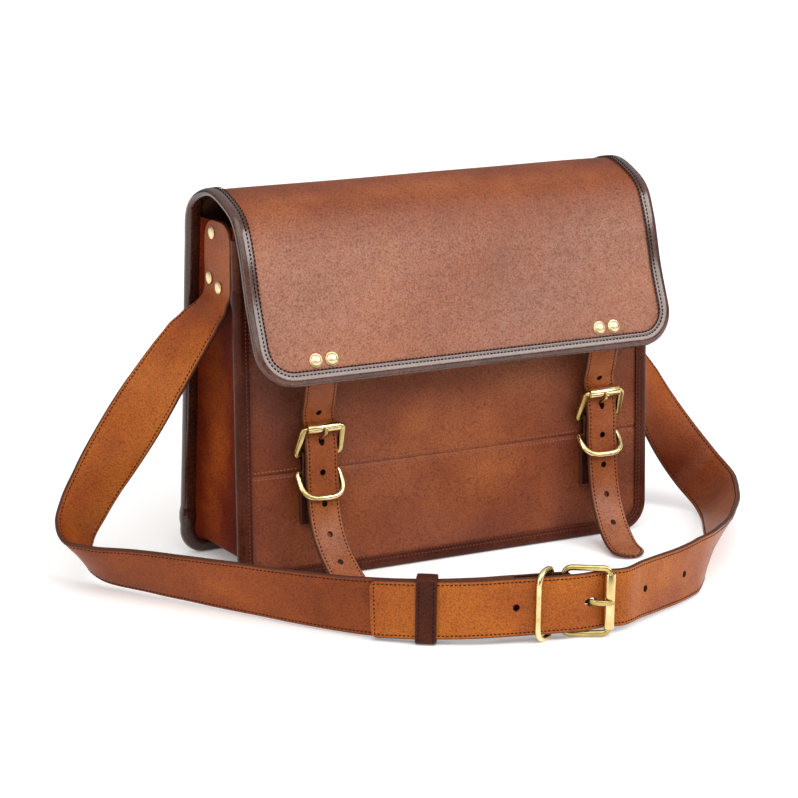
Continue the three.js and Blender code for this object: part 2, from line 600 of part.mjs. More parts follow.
function addClosureBuckle({ side, buckleX, loopOut, loopDrop }) {
  const buckle = new THREE.Group();
  buckle.position.set(buckleX, faceY(HEEL_HEIGHT), HEEL_HEIGHT);
  buckle.rotation.x = -Math.atan(FRONT_LEAN);
  bag.add(buckle);
  const heel = vec(0, -HEEL_OUT, 0);
  const rollerBar = vec(0, -ROLLER_OUT, ROLLER_RISE);
  const reach = rollerBar.distanceTo(heel);
  const frame = [
    [-FRAME_HEEL_HALF, 0, 1.8], [FRAME_HEEL_HALF, 0, 1.8],
    [FRAME_ROLLER_HALF, reach, 3], [-FRAME_ROLLER_HALF, reach, 3],
  ];
  add(`buckle_frame_${side}`, wireLoop(frame, HEEL_WIRE, heel, rollerBar), brass, buckle);
  const tube = roller(CLOSURE_ROLLER);
  tube.rotateZ(Math.PI / 2);
  add(`buckle_roller_${side}`, tube, brass, buckle).position.copy(rollerBar);
  const arm = [[0.8, 4.6], [1.2, 7.2], [8.8, 12.6], [12.8, 17.2], [12.9, 20.6]];
  const pin = tongue(HEEL_WIRE, TONGUE_METAL, CLOSURE_TONGUE_WIDTH, arm);
  add(`buckle_tongue_${side}`, pin, brass, buckle).position.copy(heel);
  add(`closure_chape_${side}`, closureChape(), darkLeather, buckle);
  const backBar = vec(0, -LOOP_OUT, LOOP_RISE);
  const frontBar = vec(0, -loopOut, -loopDrop);
  const depth = frontBar.distanceTo(backBar);
  const ring = [
    [-LOOP_HALF_WIDTH, 0, 1.8], [LOOP_HALF_WIDTH, 0, 1.8],
    [LOOP_HALF_WIDTH, depth, 6.5], [-LOOP_HALF_WIDTH, depth, 6.5],
  ];
  add(`closure_loop_${side}`, wireLoop(ring, LOOP_WIRE, backBar, frontBar), brass, buckle);
}

// ---- Shoulder strap ------------------------------------------------------------------------------
function pointsOf(list) {
  return list.map(([x, y, z]) => vec(x, y, z));
}

function acrossOf(list) {
  return list.map((p) => (p.length > 3 ? vec(p[3], p[4], p[5]).normalize() : vec(0, 0, 1)));
}

const buckleAlong = vec(Math.cos(SHOULDER_TURN), Math.sin(SHOULDER_TURN), 0);
const buckleOut = vec(Math.sin(SHOULDER_TURN), -Math.cos(SHOULDER_TURN), 0);
const shoulderHeel = vec(...SHOULDER_HEEL);
const inBuckle = ([along, out]) => shoulderHeel.clone()
  .addScaledVector(buckleAlong, along).addScaledVector(buckleOut, out);

const SHOULDER_HEEL_WIRE = 1.9;
const SHOULDER_FRAME_HALF = 21.6;
const SHOULDER_ROLLER = { outer: 3.4, inner: 2.3, length: 36 };
const SHOULDER_TONGUE = { metal: 2.2, width: 4 };
const SHOULDER_LOOP_HALF = 22.2;
const SHOULDER_LOOP_DEPTH = 15.8;
const SHOULDER_LOOP_WIRE = 1.7;
const TONGUE_SLOT_ALONG = 15.6;
const SHOULDER_HOLE_SPACING = 49;

function addShoulderStraps() {
  const left = makeRun(pointsOf(SHOULDER_LEFT), acrossOf(SHOULDER_LEFT));
  add('shoulder_strap_left', strap(runStations(left, SHOULDER_WIDTH, 44), SHOULDER_LEATHER), strapLeather);
  const tail = TAIL_IN_BUCKLE.map(inBuckle);
  const points = [...pointsOf(SHOULDER_RIGHT), ...tail, ...pointsOf(TAIL_BEYOND)];
  const acrosses = acrossOf([...SHOULDER_RIGHT, ...TAIL_IN_BUCKLE, ...TAIL_BEYOND.map(() => [0])]);
  const right = makeRun(points, acrosses);
  const slotLength = right.nearest(inBuckle([TONGUE_SLOT_ALONG, 4.8]));
  const cutters = [-2, -1, 1].map((step) => {
    const { point, face } = right.at(slotLength + step * SHOULDER_HOLE_SPACING);
    return drill(point, face, 2.3, 8);
  });
  const slot = right.at(slotLength);
  const axis = slot.face.y > 0 ? slot.face : slot.face.negate();
  cutters.push(drill(slot.point, axis, 2.9, 9, SLOT_STRETCH, 1));
  const stations = runStations(right, SHOULDER_WIDTH, 84);
  add('shoulder_strap_right', cut(strap(stations, SHOULDER_LEATHER), cutters), strapLeather);
}

function addShoulderBuckle() {
  // Inside this group X runs along the strap, -Y outward and Z across the strap.
  const buckle = new THREE.Group();
  buckle.position.copy(shoulderHeel);
  buckle.rotation.z = SHOULDER_TURN;
  bag.add(buckle);
  const upright = new THREE.Matrix4().makeRotationY(-Math.PI / 2);
  const rollerBar = vec(28, -7.2, 0);
  const reach = rollerBar.length();
  const direction = rollerBar.clone().normalize();
  const laid = (corners, from, along) => roundedLoop(corners).map(([u, v]) => from.clone()
    .addScaledVector(along, v).add(vec(0, 0, u)));
  const frame = [
    [-SHOULDER_FRAME_HALF, 0, 3], [SHOULDER_FRAME_HALF, 0, 3],
    [SHOULDER_FRAME_HALF, reach, 3], [-SHOULDER_FRAME_HALF, reach, 3],
  ];
  const frameShape = sweepRound(laid(frame, vec(0, 0, 0), direction), SHOULDER_HEEL_WIRE, true, 8);
  add('shoulder_buckle_frame', frameShape, brass, buckle);
  const tube = roller(SHOULDER_ROLLER);
  tube.rotateX(Math.PI / 2);
  add('shoulder_buckle_roller', tube, brass, buckle).position.copy(rollerBar);
  const arm = [[0.8, 6], [2.4, 12.4], [8.8, 18.4], [12.4, 27], [12.5, 31]];
  const tongueShape = tongue(SHOULDER_HEEL_WIRE, SHOULDER_TONGUE.metal, SHOULDER_TONGUE.width, arm);
  tongueShape.applyMatrix4(upright.clone().invert());
  add('shoulder_buckle_tongue', tongueShape, brass, buckle);
  const ring = [
    [-SHOULDER_LOOP_HALF, 0, 3], [SHOULDER_LOOP_HALF, 0, 3],
    [SHOULDER_LOOP_HALF, SHOULDER_LOOP_DEPTH, 5], [-SHOULDER_LOOP_HALF, SHOULDER_LOOP_DEPTH, 5],
  ];
  const ringFrom = vec(-8.5, 0, 0);
  const ringTo = vec(-20, -10.8, 0).sub(ringFrom).normalize();
  const loopShape = sweepRound(laid(ring, ringFrom, ringTo), SHOULDER_LOOP_WIRE, true, 8);
  add('shoulder_loop', loopShape, brass, buckle);
  addShoulderChape(buckle);
}

// Dark leather folded round the heel bar, gripping the end of the strap between its two plies.
function addShoulderChape(buckle) {
  const inner = 2.3;
  const outer = 4.1;
  const end = -44;
  const half = (radius, from, to, steps) => Array.from({ length: steps + 1 }, (_, i) => {
    const turn = THREE.MathUtils.degToRad(from + ((to - from) * i) / steps);
    return [radius * Math.cos(turn), radius * Math.sin(turn)];
  });
  const side = [[end, -outer], ...half(outer, -90, 90, 8), [end, outer], [end, inner],
    ...half(inner, 90, -90, 8), [end, -inner]];
  const halfHeight = 18;
  const rings = [-halfHeight, halfHeight].map((z) => side.map(([x, y]) => vec(x, y, z)));
  const notch = new THREE.BoxGeometry(12, 20, 5.4);
  notch.translate(6 - 4.9, 0, 0);
  add('shoulder_chape', cut(faceOut(loft(rings, side)), [notch]), darkLeather, buckle);
}

// Leather keeper that slides on the doubled strap.
const KEEPER_LENGTH = 13;

function addKeeper() {
  const centre = vec(-106, -147, 22.2);
  const inner = { z: 20, y: 4.9 };
  const wall = 1.6;
  const box = (z, y) => [[-z, -y], [z, -y], [z, y], [-z, y]].map(([u, v]) => new THREE.Vector2(u, v));
  const shape = new THREE.Shape(box(inner.z + wall, inner.y + wall));
  shape.holes.push(new THREE.Path(box(inner.z, inner.y)));
  const geometry = new THREE.ExtrudeGeometry(shape, { depth: KEEPER_LENGTH, bevelEnabled: false, steps: 1 });
  geometry.translate(0, 0, -KEEPER_LENGTH / 2);
  geometry.rotateY(Math.PI / 2);
  const keeper = add('strap_keeper', geometry, darkLeather);
  keeper.position.copy(centre);
  keeper.rotation.z = THREE.MathUtils.degToRad(-34.5);
}

addBody();
addGusset();
addTabs();
addFlapRivets();
CLOSURES.forEach(addClosureStrap);
CLOSURES.forEach(addClosureBuckle);
addShoulderStraps();
addShoulderBuckle();
addKeeper();

export default bag;
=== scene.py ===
"""A leather satchel: its leather, stitching and brass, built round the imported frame.

Sizes in this file are millimetres in the frame's directions: X right, Y back, Z up.
They are turned into metres where a mesh, a light or the camera is made.
"""

import json
import math

import bmesh
import bpy
import numpy as np
from mathutils import Matrix, Vector
from mathutils.kdtree import KDTree


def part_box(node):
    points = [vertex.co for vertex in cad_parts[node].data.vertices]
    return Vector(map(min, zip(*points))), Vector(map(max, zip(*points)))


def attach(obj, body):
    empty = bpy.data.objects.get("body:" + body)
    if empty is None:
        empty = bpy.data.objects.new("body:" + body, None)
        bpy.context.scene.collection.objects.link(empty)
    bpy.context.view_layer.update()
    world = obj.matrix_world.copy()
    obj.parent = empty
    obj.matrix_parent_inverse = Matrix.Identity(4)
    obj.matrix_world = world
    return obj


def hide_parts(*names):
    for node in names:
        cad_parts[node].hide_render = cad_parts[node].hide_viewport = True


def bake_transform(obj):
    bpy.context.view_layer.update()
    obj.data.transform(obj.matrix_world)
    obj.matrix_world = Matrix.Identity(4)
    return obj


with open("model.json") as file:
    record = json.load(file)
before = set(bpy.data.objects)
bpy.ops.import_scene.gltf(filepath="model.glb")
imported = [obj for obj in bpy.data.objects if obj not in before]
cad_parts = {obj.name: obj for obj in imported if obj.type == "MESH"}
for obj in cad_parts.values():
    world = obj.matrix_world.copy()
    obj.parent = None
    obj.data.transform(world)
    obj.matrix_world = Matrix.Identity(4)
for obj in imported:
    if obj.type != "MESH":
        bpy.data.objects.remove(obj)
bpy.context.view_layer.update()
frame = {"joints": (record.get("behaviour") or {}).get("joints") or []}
MM = 0.001


def box_mm(node):
    """Lowest and highest corner of a CAD node."""
    low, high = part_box(node)
    return np.array(low) / MM, np.array(high) / MM


# ---- Sizes -------------------------------------------------------------------------------------
HALF_WIDTH = box_mm("back_binding")[1][0]
GAP = 0.3
LEATHER = 2.4
TAPE = 1.2
BINDING_WIDTH = 9.5
GUSSET_LEATHER = 2.0
GROOVE = LEATHER / 2 + GAP
PANEL_INSET = TAPE + 0.4 + GAP
FRONT_HEIGHT = box_mm("front_panel_upper")[1][2]
FRONT_LEAN = 12 / 235
FRONT_MIDDLE = TAPE + GAP + LEATHER / 2
FRONT_CORNER = 20
BACK_CORNER = 17
FLAP_CORNER = 26
SEAM_HEIGHT = 74
GUSSET_TOP = box_mm("gusset")[1][2]
GUSSET_INSET = 10
STITCH_PITCH = 2.7
THREAD_LIFT = 0.12
OPEN_TOP = 400
SHOULDER_WIDTH = 38
SHOULDER_LEATHER = 3.0
CLOSURE_WIDTH = 24
CLOSURE_LEATHER = 2.6

# Middle of the leather from the back lower edge, over the top, to the flap's free edge: (y, z).
BACK_AND_FLAP_LINE = [
    (92.5, 0.25), (88.4, 94), (84.3, 215), (82.3, 238), (71.8, 248.6), (50.2, 255.4),
    (30.2, 250.4), (15.2, 241.8), (5.6, 223.8), (-5.4, 189.3), (-17.1, 161.3), (-25.4, 139.7),
]

# ---- Camera and stage --------------------------------------------------------------------------
CAMERA_TARGET = Vector((135.9, 310.1, 26.7)) * MM
CAMERA_DISTANCE = 2.3677
CAMERA_AZIMUTH = math.radians(30.02)
CAMERA_ELEVATION = math.radians(14.05)
CAMERA_ROLL = math.radians(0.93)
SENSOR = 36
LENS = 135.9


def add_camera():
    back = Vector((-math.sin(CAMERA_AZIMUTH) * math.cos(CAMERA_ELEVATION),
                   -math.cos(CAMERA_AZIMUTH) * math.cos(CAMERA_ELEVATION),
                   math.sin(CAMERA_ELEVATION)))
    level = Vector((math.cos(CAMERA_AZIMUTH), -math.sin(CAMERA_AZIMUTH), 0))
    upright = back.cross(level)
    right = level * math.cos(CAMERA_ROLL) + upright * math.sin(CAMERA_ROLL)
    up = back.cross(right)
    camera = bpy.data.objects.new("camera", bpy.data.cameras.new("camera"))
    camera.matrix_world = Matrix((right, up, back)).transposed().to_4x4()
    camera.location = CAMERA_TARGET + back * CAMERA_DISTANCE
    camera.data.sensor_width = SENSOR
    camera.data.lens = LENS
    camera.data.clip_start = 0.05
    camera.data.clip_end = 60
    bpy.context.scene.collection.objects.link(camera)
    bpy.context.scene.camera = camera


def add_area_light(name, position, aim, size, power, colour):
    data = bpy.data.lights.new(name, "AREA")
    data.shape = "RECTANGLE"
    data.size, data.size_y = size
    data.energy = power
    data.color = colour
    light = bpy.data.objects.new(name, data)
    light.location = position
    light.rotation_euler = (Vector(position) - Vector(aim)).to_track_quat("Z", "Y").to_euler()
    bpy.context.scene.collection.objects.link(light)


def add_sun(name, towards, spread, strength, colour):
    """An even, soft light from a direction, which leaves the whole floor equally bright."""
    data = bpy.data.lights.new(name, "SUN")
    data.angle = math.radians(spread)
    data.energy = strength
    data.color = colour
    light = bpy.data.objects.new(name, data)
    light.rotation_euler = Vector(towards).to_track_quat("Z", "Y").to_euler()
    bpy.context.scene.collection.objects.link(light)


def light_room(tree):
    """A bright ceiling that falls off to dim walls, so that metal and polished leather have contrast."""
    direction = tree.nodes.new("ShaderNodeTexCoord").outputs["Generated"]
    split = tree.nodes.new("ShaderNodeSeparateXYZ")
    tree.links.new(direction, split.inputs["Vector"])
    height = remap(tree, split.outputs["Z"], 0.05, 0.75)
    colour = mix_colour(tree, height, (0.1, 0.1, 0.1), (1, 1, 1))
    tree.links.new(colour, tree.nodes["Background"].inputs["Color"])
    tree.nodes["Background"].inputs["Strength"].default_value = 0.85


def add_stage():
    size = 12
    mesh = bpy.data.meshes.new("floor")
    corners = [(-size, -size, 0), (size, -size, 0), (size, size, 0), (-size, size, 0)]
    mesh.from_pydata(corners, [], [(0, 1, 2, 3)])
    floor = bpy.data.objects.new("floor", mesh)
    bpy.context.scene.collection.objects.link(floor)
    material = bpy.data.materials.new("pale_floor")
    material.use_nodes = True
    shader = material.node_tree.nodes["Principled BSDF"]
    shader.inputs["Base Color"].default_value = (0.93, 0.93, 0.93, 1)
    shader.inputs["Roughness"].default_value = 0.9
    shader.inputs["Specular IOR Level"].default_value = 0.0
    shader.inputs["Emission Color"].default_value = (1, 1, 1, 1)
    shader.inputs["Emission Strength"].default_value = 0.16
    mesh.materials.append(material)
    world = bpy.data.worlds.new("studio")
    world.use_nodes = True
    light_room(world.node_tree)
    bpy.context.scene.world = world
    bpy.context.scene.view_settings.view_transform = "Standard"
    middle = (0, 0, 0.12)
    add_sun("window", (-0.35, -0.75, 1.0), 55, 1.35, (1, 0.98, 0.95))
    add_area_light("flap_sheen", (1.0, -1.25, 1.15), middle, (1.0, 0.7), 17, (1, 0.97, 0.97))
    add_area_light("left", (-1.9, -0.5, 0.7), middle, (0.7, 1.2), 9, (1, 0.96, 0.9))


# ---- Routes ------------------------------------------------------------------------------------
class Route:
    """A smooth line through points, with a width direction carried along it."""

    def __init__(self, points, acrosses, steps=48):
        p = np.array(points, float)
        side = np.array(acrosses, float)
        padded = np.vstack([2 * p[0] - p[1], p, 2 * p[-1] - p[-2]])
        t = np.linspace(0, 1, steps, endpoint=False)[:, None]
        spans, sides = [], []
        for k in range(len(p) - 1):
            a, b, c, d = padded[k:k + 4]
            before, here, after = (np.linalg.norm(q) ** 0.5 for q in (b - a, c - b, d - c))
            start = ((b - a) / before - (c - a) / (before + here) + (c - b) / here) * here
            end = ((c - b) / here - (d - b) / (here + after) + (d - c) / after) * here
            spans.append(b + start * t + (3 * (c - b) - 2 * start - end) * t ** 2
                         + (2 * (b - c) + start + end) * t ** 3)
            sides.append(side[k] * (1 - t) + side[k + 1] * t)
        self.points = np.vstack([*spans, p[-1:]])
        self.sides = np.vstack([*sides, side[-1:]])
        gaps = np.linalg.norm(np.diff(self.points, axis=0), axis=1)
        self.lengths = np.concatenate([[0], np.cumsum(gaps)])
        self.total = self.lengths[-1]

    def at(self, length):
        """Point, along, across and face directions at each length."""
        length = np.atleast_1d(np.asarray(length, float))

        def read(values, where):
            inside = np.clip(where, 0, self.total)
            return np.stack([np.interp(inside, self.lengths, values[:, i]) for i in range(3)], axis=1)

        point = read(self.points, length)
        low = np.clip(length - 0.5, 0, self.total - 1)
        along = unit(read(self.points, low + 1) - read(self.points, low))
        across = read(self.sides, length)
        across = unit(across - along * np.sum(along * across, axis=1, keepdims=True))
        return point, along, across, np.cross(along, across)

    def place(self, length, u, v):
        """Points at u across and v off the face; length, u and v have one shape."""
        length, u, v = np.broadcast_arrays(*(np.asarray(q, float) for q in (length, u, v)))
        point, _, across, face = self.at(length.ravel())
        placed = point + across * u.reshape(-1, 1) + face * v.reshape(-1, 1)
        return placed.reshape(*length.shape, 3)

    def nearest(self, target):
        distance = np.linalg.norm(self.points - np.array(target, float), axis=1)
        return self.lengths[np.argmin(distance)]


def unit(v):
    return v / np.maximum(np.linalg.norm(v, axis=-1, keepdims=True), 1e-12)


def wander(a, b, seed=0.0):
    """A smooth, repeatable unevenness between about -1 and 1 over two lengths."""
    a, b = np.asarray(a, float), np.asarray(b, float)
    value = np.sin(a + 1.7 * np.sin(b * 0.73 + seed) + seed)
    value += np.sin(b * 1.13 + 1.3 * np.sin(a * 0.61 - seed) + 2.1 * seed)
    value += 0.6 * np.sin((a + b) * 1.9 + seed * 3.3)
    return value / 2.6


leather_line = Route([(0, y, z) for y, z in BACK_AND_FLAP_LINE], [(1, 0, 0)] * len(BACK_AND_FLAP_LINE))
LINE_LENGTH = leather_line.total


def on_leather(x, rise, outward):
    """A place on the back and flap leather: across, along from the back lower edge, outward."""
    return leather_line.place(rise, x, outward)


def on_front(x, rise, outward):
    x, rise, outward = np.broadcast_arrays(*(np.asarray(q, float) for q in (x, rise, outward)))
    return np.stack([x, rise * FRONT_LEAN + FRONT_MIDDLE - outward, rise], axis=-1)


def front_face(z):
    """Y of the front panel's outer face."""
    return z * FRONT_LEAN + TAPE + GAP


# ---- Meshes ------------------------------------------------------------------------------------
def make_piece(name, points, faces, material, body, flat_angle=50, marks=None):
    """A mesh piece from points in millimetres. marks holds a number for each point, by name."""
    mesh = bpy.data.meshes.new(name)
    mesh.from_pydata((np.asarray(points, float).reshape(-1, 3) * MM).tolist(), [], faces)
    mesh.materials.append(material)
    for mark, values in (marks or {}).items():
        attribute = mesh.attributes.new(mark, "FLOAT", "POINT")
        attribute.data.foreach_set("value", np.asarray(values, np.float32).ravel())
    turn_outward(mesh)
    mesh.shade_smooth()
    mesh.set_sharp_from_angle(angle=math.radians(flat_angle))
    piece = bpy.data.objects.new(name, mesh)
    bpy.context.scene.collection.objects.link(piece)
    if body:
        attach(piece, body)
    return piece


def turn_outward(mesh):
    work = bmesh.new()
    work.from_mesh(mesh)
    bmesh.ops.recalc_face_normals(work, faces=work.faces)
    work.to_mesh(mesh)
    work.free()


def loft(rings, closed=False):
    """Points and faces through rings, an array of ring, point and coordinate."""
    rings = np.asarray(rings, float)
    count, size = rings.shape[:2]
    faces = []
    for i in range(count if closed else count - 1):
        here, after = i * size, ((i + 1) % count) * size
        for j in range(size):
            k = (j + 1) % size
            faces.append((here + j, here + k, after + k, after + j))
    if not closed:
        faces.append(tuple(range(size))[::-1])
        faces.append(tuple((count - 1) * size + j for j in range(size)))
    return rings.reshape(-1, 3), faces


def slab(outer, inner):
    """Points and faces of a sheet between two grids of the same shape."""
    rows, columns = outer.shape[:2]
    rings = np.concatenate([outer, inner[:, ::-1]], axis=1)
    points = rings.reshape(-1, 3)
    size = 2 * columns
    faces = []
    for i in range(rows - 1):
        for j in range(size):
            k = (j + 1) % size
            faces.append((i * size + j, i * size + k, (i + 1) * size + k, (i + 1) * size + j))
    for i in (0, rows - 1):
        for j in range(columns - 1):
            a, b = i * size + j, i * size + size - 1 - j
            faces.append((a, a + 1, b - 1, b))
    return points, faces


def apply_cut(piece, cutters):
    """Cuts closed meshes out of a piece and removes the cutters. Points on a cut take their marks
    from the nearest point of the uncut piece."""
    whole = piece.data
    tree = KDTree(len(whole.vertices))
    for vertex in whole.vertices:
        tree.insert(vertex.co, vertex.index)
    tree.balance()
    for cutter in cutters:
        modifier = piece.modifiers.new("cut", "BOOLEAN")
        modifier.object = cutter
        modifier.operation = "DIFFERENCE"
        modifier.solver = "EXACT"
        modifier.material_mode = "TRANSFER"
    evaluated = piece.evaluated_get(bpy.context.evaluated_depsgraph_get())
    mesh = bpy.data.meshes.new_from_object(evaluated)
    nearest = [tree.find(vertex.co)[1] for vertex in mesh.vertices]
    for mark in ("tone", "rim", "painted_sheen"):
        if mark in whole.attributes:
            values = np.zeros(len(whole.vertices), np.float32)
            whole.attributes[mark].data.foreach_get("value", values)
            mesh.attributes[mark].data.foreach_set("value", values[nearest])
    piece.modifiers.clear()
    piece.data = mesh
    mesh.set_sharp_from_angle(angle=math.radians(50))
    for cutter in cutters:
        bpy.data.objects.remove(cutter)


def make_cutter(centre, axis, radius, length, material, stretch=None):
    """A round cutter; stretch is a direction and how far the hole is worn along it."""
    axis = unit(np.array(axis, float))
    side = unit(np.cross(axis, (0.3, 0.9, 0.2) if stretch is None else stretch[0]))
    other = np.cross(axis, side)
    turns = np.linspace(0, 2 * np.pi, 24, endpoint=False)
    ring = np.cos(turns)[:, None] * side + np.sin(turns)[:, None] * other * (stretch[1] if stretch else 1)
    rings = [np.array(centre) + ring * radius + axis * length * end for end in (-0.5, 0.5)]
    points, faces = loft(rings)
    return new_cutter(points, faces, material)


def new_cutter(points, faces, material):
    mesh = bpy.data.meshes.new("cutter")
    mesh.from_pydata((np.array(points) * MM).tolist(), [], faces)
    mesh.materials.append(material)
    tone = mesh.attributes.new("tone", "FLOAT", "POINT")
    tone.data.foreach_set("value", [0.5] * len(mesh.vertices))
    turn_outward(mesh)
    cutter = bpy.data.objects.new("cutter", mesh)
    bpy.context.scene.collection.objects.link(cutter)
    return cutter


STITCH_SIDES = 6


def add_stitches(name, rows, material, body, length=1.9, radius=0.42):
    """Threads along rows; each row is centres, run directions and outward directions."""
    turns = np.linspace(0, 2 * np.pi, STITCH_SIDES, endpoint=False)
    shape = [(-0.5 * length, 0, 0)]
    for end in (-0.3, 0.3):
        shape += [(end * length, radius * np.cos(t), 0.8 * radius * np.sin(t)) for t in turns]
    shape.append((0.5 * length, 0, 0))
    shape = np.array(shape)
    last = len(shape) - 1
    base = []
    for j in range(STITCH_SIDES):
        k = (j + 1) % STITCH_SIDES
        base.append((0, 1 + k, 1 + j))
        base.append((1 + j, 1 + k, 1 + STITCH_SIDES + k, 1 + STITCH_SIDES + j))
        base.append((last, 1 + STITCH_SIDES + j, 1 + STITCH_SIDES + k))
    points, faces = [], []
    for centres, runs, outs in rows:
        sides = np.cross(outs, runs)
        for centre, run, side, out in zip(centres, runs, sides, outs):
            start = len(points) * len(shape)
            points.append(centre + shape[:, :1] * run + shape[:, 1:2] * side + shape[:, 2:] * out)
            faces.extend(tuple(start + i for i in face) for face in base)
    return make_piece(name, np.array(points), faces, material, body)


def row_on(points, outs, closed=False):
    """Evenly spaced places on a polyline, with run and outward directions."""
    if closed:
        points, outs = np.vstack([points, points[:1]]), np.vstack([outs, outs[:1]])
    lengths = np.concatenate([[0], np.cumsum(np.linalg.norm(np.diff(points, axis=0), axis=1))])
    count = max(1, int(lengths[-1] / STITCH_PITCH))
    where = (np.arange(count) + 0.5) * lengths[-1] / count

    def read(values, at):
        return np.stack([np.interp(at, lengths, values[:, i]) for i in range(3)], axis=1)

    runs = unit(read(points, where + 0.5) - read(points, where - 0.5))
    out = read(outs, where)
    out = unit(out - runs * np.sum(out * runs, axis=1, keepdims=True))
    return read(points, where), runs, out


# ---- Materials ---------------------------------------------------------------------------------
def new_material(name):
    material = bpy.data.materials.new(name)
    material.use_nodes = True
    tree = material.node_tree
    return material, tree, tree.nodes["Principled BSDF"]


def add_node(tree, kind, **inputs):
    node = tree.nodes.new(kind)
    for key, value in inputs.items():
        node.inputs[key.replace("_", " ")].default_value = value
    return node


def mix_colour(tree, factor, a, b):
    node = tree.nodes.new("ShaderNodeMix")
    node.data_type = "RGBA"
    for socket, value in ((node.inputs[0], factor), (node.inputs[6], a), (node.inputs[7], b)):
        if hasattr(value, "is_output"):
            tree.links.new(value, socket)
        else:
            socket.default_value = value if isinstance(value, (int, float)) else (*value, 1)
    return node.outputs[2]


def remap(tree, value, low, high, to_low=0.0, to_high=1.0):
    node = tree.nodes.new("ShaderNodeMapRange")
    tree.links.new(value, node.inputs["Value"])
    for key, number in (("From Min", low), ("From Max", high), ("To Min", to_low), ("To Max", to_high)):
        node.inputs[key].default_value = number
    return node.outputs["Result"]


# Colour of the painted sheen: a pale pinkish-grey highlight mixed into the leather's colour.
PAINTED_SHEEN_COLOUR = (0.58, 0.36, 0.28)
DARK_RIM = (0.06, 0.018, 0.009)


def leather(name, dark, middle, light, roughness=(0.36, 0.56), grain=0.35, grain_size=1.1, gloss=0.3,
            coat=0.0, coat_roughness=0.32, mottle=0.5):
    """Leather with pebble grain. The mark "tone" runs from 0, dark, to 1, light. Cut edges are
    burnished where the mark "rim" is 1. A third mark says how much painted sheen, a pale pinkish highlight,
    is laid over the colour in patches."""
    material, tree, shader = new_material(name)
    link = tree.links.new
    place = tree.nodes.new("ShaderNodeTexCoord").outputs["Object"]
    tone = tree.nodes.new("ShaderNodeAttribute")
    tone.attribute_name = "tone"
    ramp = tree.nodes.new("ShaderNodeValToRGB")
    stops = ramp.color_ramp.elements
    stops[0].color, stops[1].color = (*dark, 1), (*light, 1)
    stops.new(0.5).color = (*middle, 1)
    clouds = add_node(tree, "ShaderNodeTexNoise", Scale=22.0, Detail=5.0, Roughness=0.62)
    link(place, clouds.inputs["Vector"])
    shifted = tree.nodes.new("ShaderNodeMath")
    shifted.operation = "ADD"
    link(tone.outputs["Fac"], shifted.inputs[0])
    link(remap(tree, clouds.outputs["Fac"], 0.3, 0.7, -0.5 * mottle, 0.5 * mottle), shifted.inputs[1])
    link(shifted.outputs[0], ramp.inputs["Fac"])
    cells = add_node(tree, "ShaderNodeTexVoronoi", Scale=1000 / grain_size, Randomness=1.0)
    cells.feature = "SMOOTH_F1"
    link(place, cells.inputs["Vector"])
    fine = add_node(tree, "ShaderNodeTexNoise", Scale=2400.0, Detail=3.0)
    link(place, fine.inputs["Vector"])
    patches = add_node(tree, "ShaderNodeTexNoise", Scale=150.0, Detail=4.0, Roughness=0.75)
    link(place, patches.inputs["Vector"])
    valley = remap(tree, cells.outputs["Distance"], 0.2, 0.75)
    # Painted sheen: the colour is mixed towards the pale highlight colour in noisy patches, as far as the
    # mark asks.
    sheen_mark = tree.nodes.new("ShaderNodeAttribute")
    sheen_mark.attribute_name = "painted_sheen"
    sheen_amount = tree.nodes.new("ShaderNodeMath")
    sheen_amount.operation = "MULTIPLY"
    link(sheen_mark.outputs["Fac"], sheen_amount.inputs[0])
    link(remap(tree, patches.outputs["Fac"], 0.34, 0.64, 0.62, 1.0), sheen_amount.inputs[1])
    sheened = mix_colour(tree, sheen_amount.outputs[0], ramp.outputs["Color"], PAINTED_SHEEN_COLOUR)
    speckled = mix_colour(tree, remap(tree, fine.outputs["Fac"], 0.4, 0.68, 0.0, 0.5), sheened,
                          [0.4 * c for c in middle])
    grained = mix_colour(tree, remap(tree, valley, 0, 1, 0.0, 0.55), speckled, [0.35 * c for c in dark])
    edge = tree.nodes.new("ShaderNodeAttribute")
    edge.attribute_name = "rim"
    link(mix_colour(tree, edge.outputs["Fac"], grained, DARK_RIM), shader.inputs["Base Color"])
    link(remap(tree, patches.outputs["Fac"], 0.3, 0.7, *roughness), shader.inputs["Roughness"])
    height = tree.nodes.new("ShaderNodeMath")
    height.operation = "MULTIPLY_ADD"
    link(cells.outputs["Distance"], height.inputs[0])
    height.inputs[1].default_value = -1.0
    link(remap(tree, fine.outputs["Fac"], 0, 1, 0, 0.7), height.inputs[2])
    bump = add_node(tree, "ShaderNodeBump", Strength=grain, Distance=0.0004)
    link(height.outputs[0], bump.inputs["Height"])
    link(bump.outputs["Normal"], shader.inputs["Normal"])
    shader.inputs["Specular IOR Level"].default_value = gloss
    shader.inputs["Specular Tint"].default_value = (1, 0.82, 0.72, 1)
    shader.inputs["Coat Weight"].default_value = coat
    shader.inputs["Coat Roughness"].default_value = coat_roughness
    return material


def brass(name, bright, dull, roughness):
    """Antique brass: a polished colour with duller patches."""
    material, tree, shader = new_material(name)
    link = tree.links.new
    place = tree.nodes.new("ShaderNodeTexCoord").outputs["Object"]
    clouds = add_node(tree, "ShaderNodeTexNoise", Scale=60.0, Detail=4.0, Roughness=0.6)
    scratches = add_node(tree, "ShaderNodeTexNoise", Scale=1500.0, Detail=2.0)
    for texture in (clouds, scratches):
        link(place, texture.inputs["Vector"])
    dullness = remap(tree, clouds.outputs["Fac"], 0.42, 0.68)
    link(mix_colour(tree, dullness, bright, dull), shader.inputs["Base Color"])
    link(remap(tree, clouds.outputs["Fac"], 0.35, 0.7, *roughness), shader.inputs["Roughness"])
    bump = add_node(tree, "ShaderNodeBump", Strength=0.08, Distance=0.0001)
    link(scratches.outputs["Fac"], bump.inputs["Height"])
    link(bump.outputs["Normal"], shader.inputs["Normal"])
    shader.inputs["Metallic"].default_value = 1.0
    return material


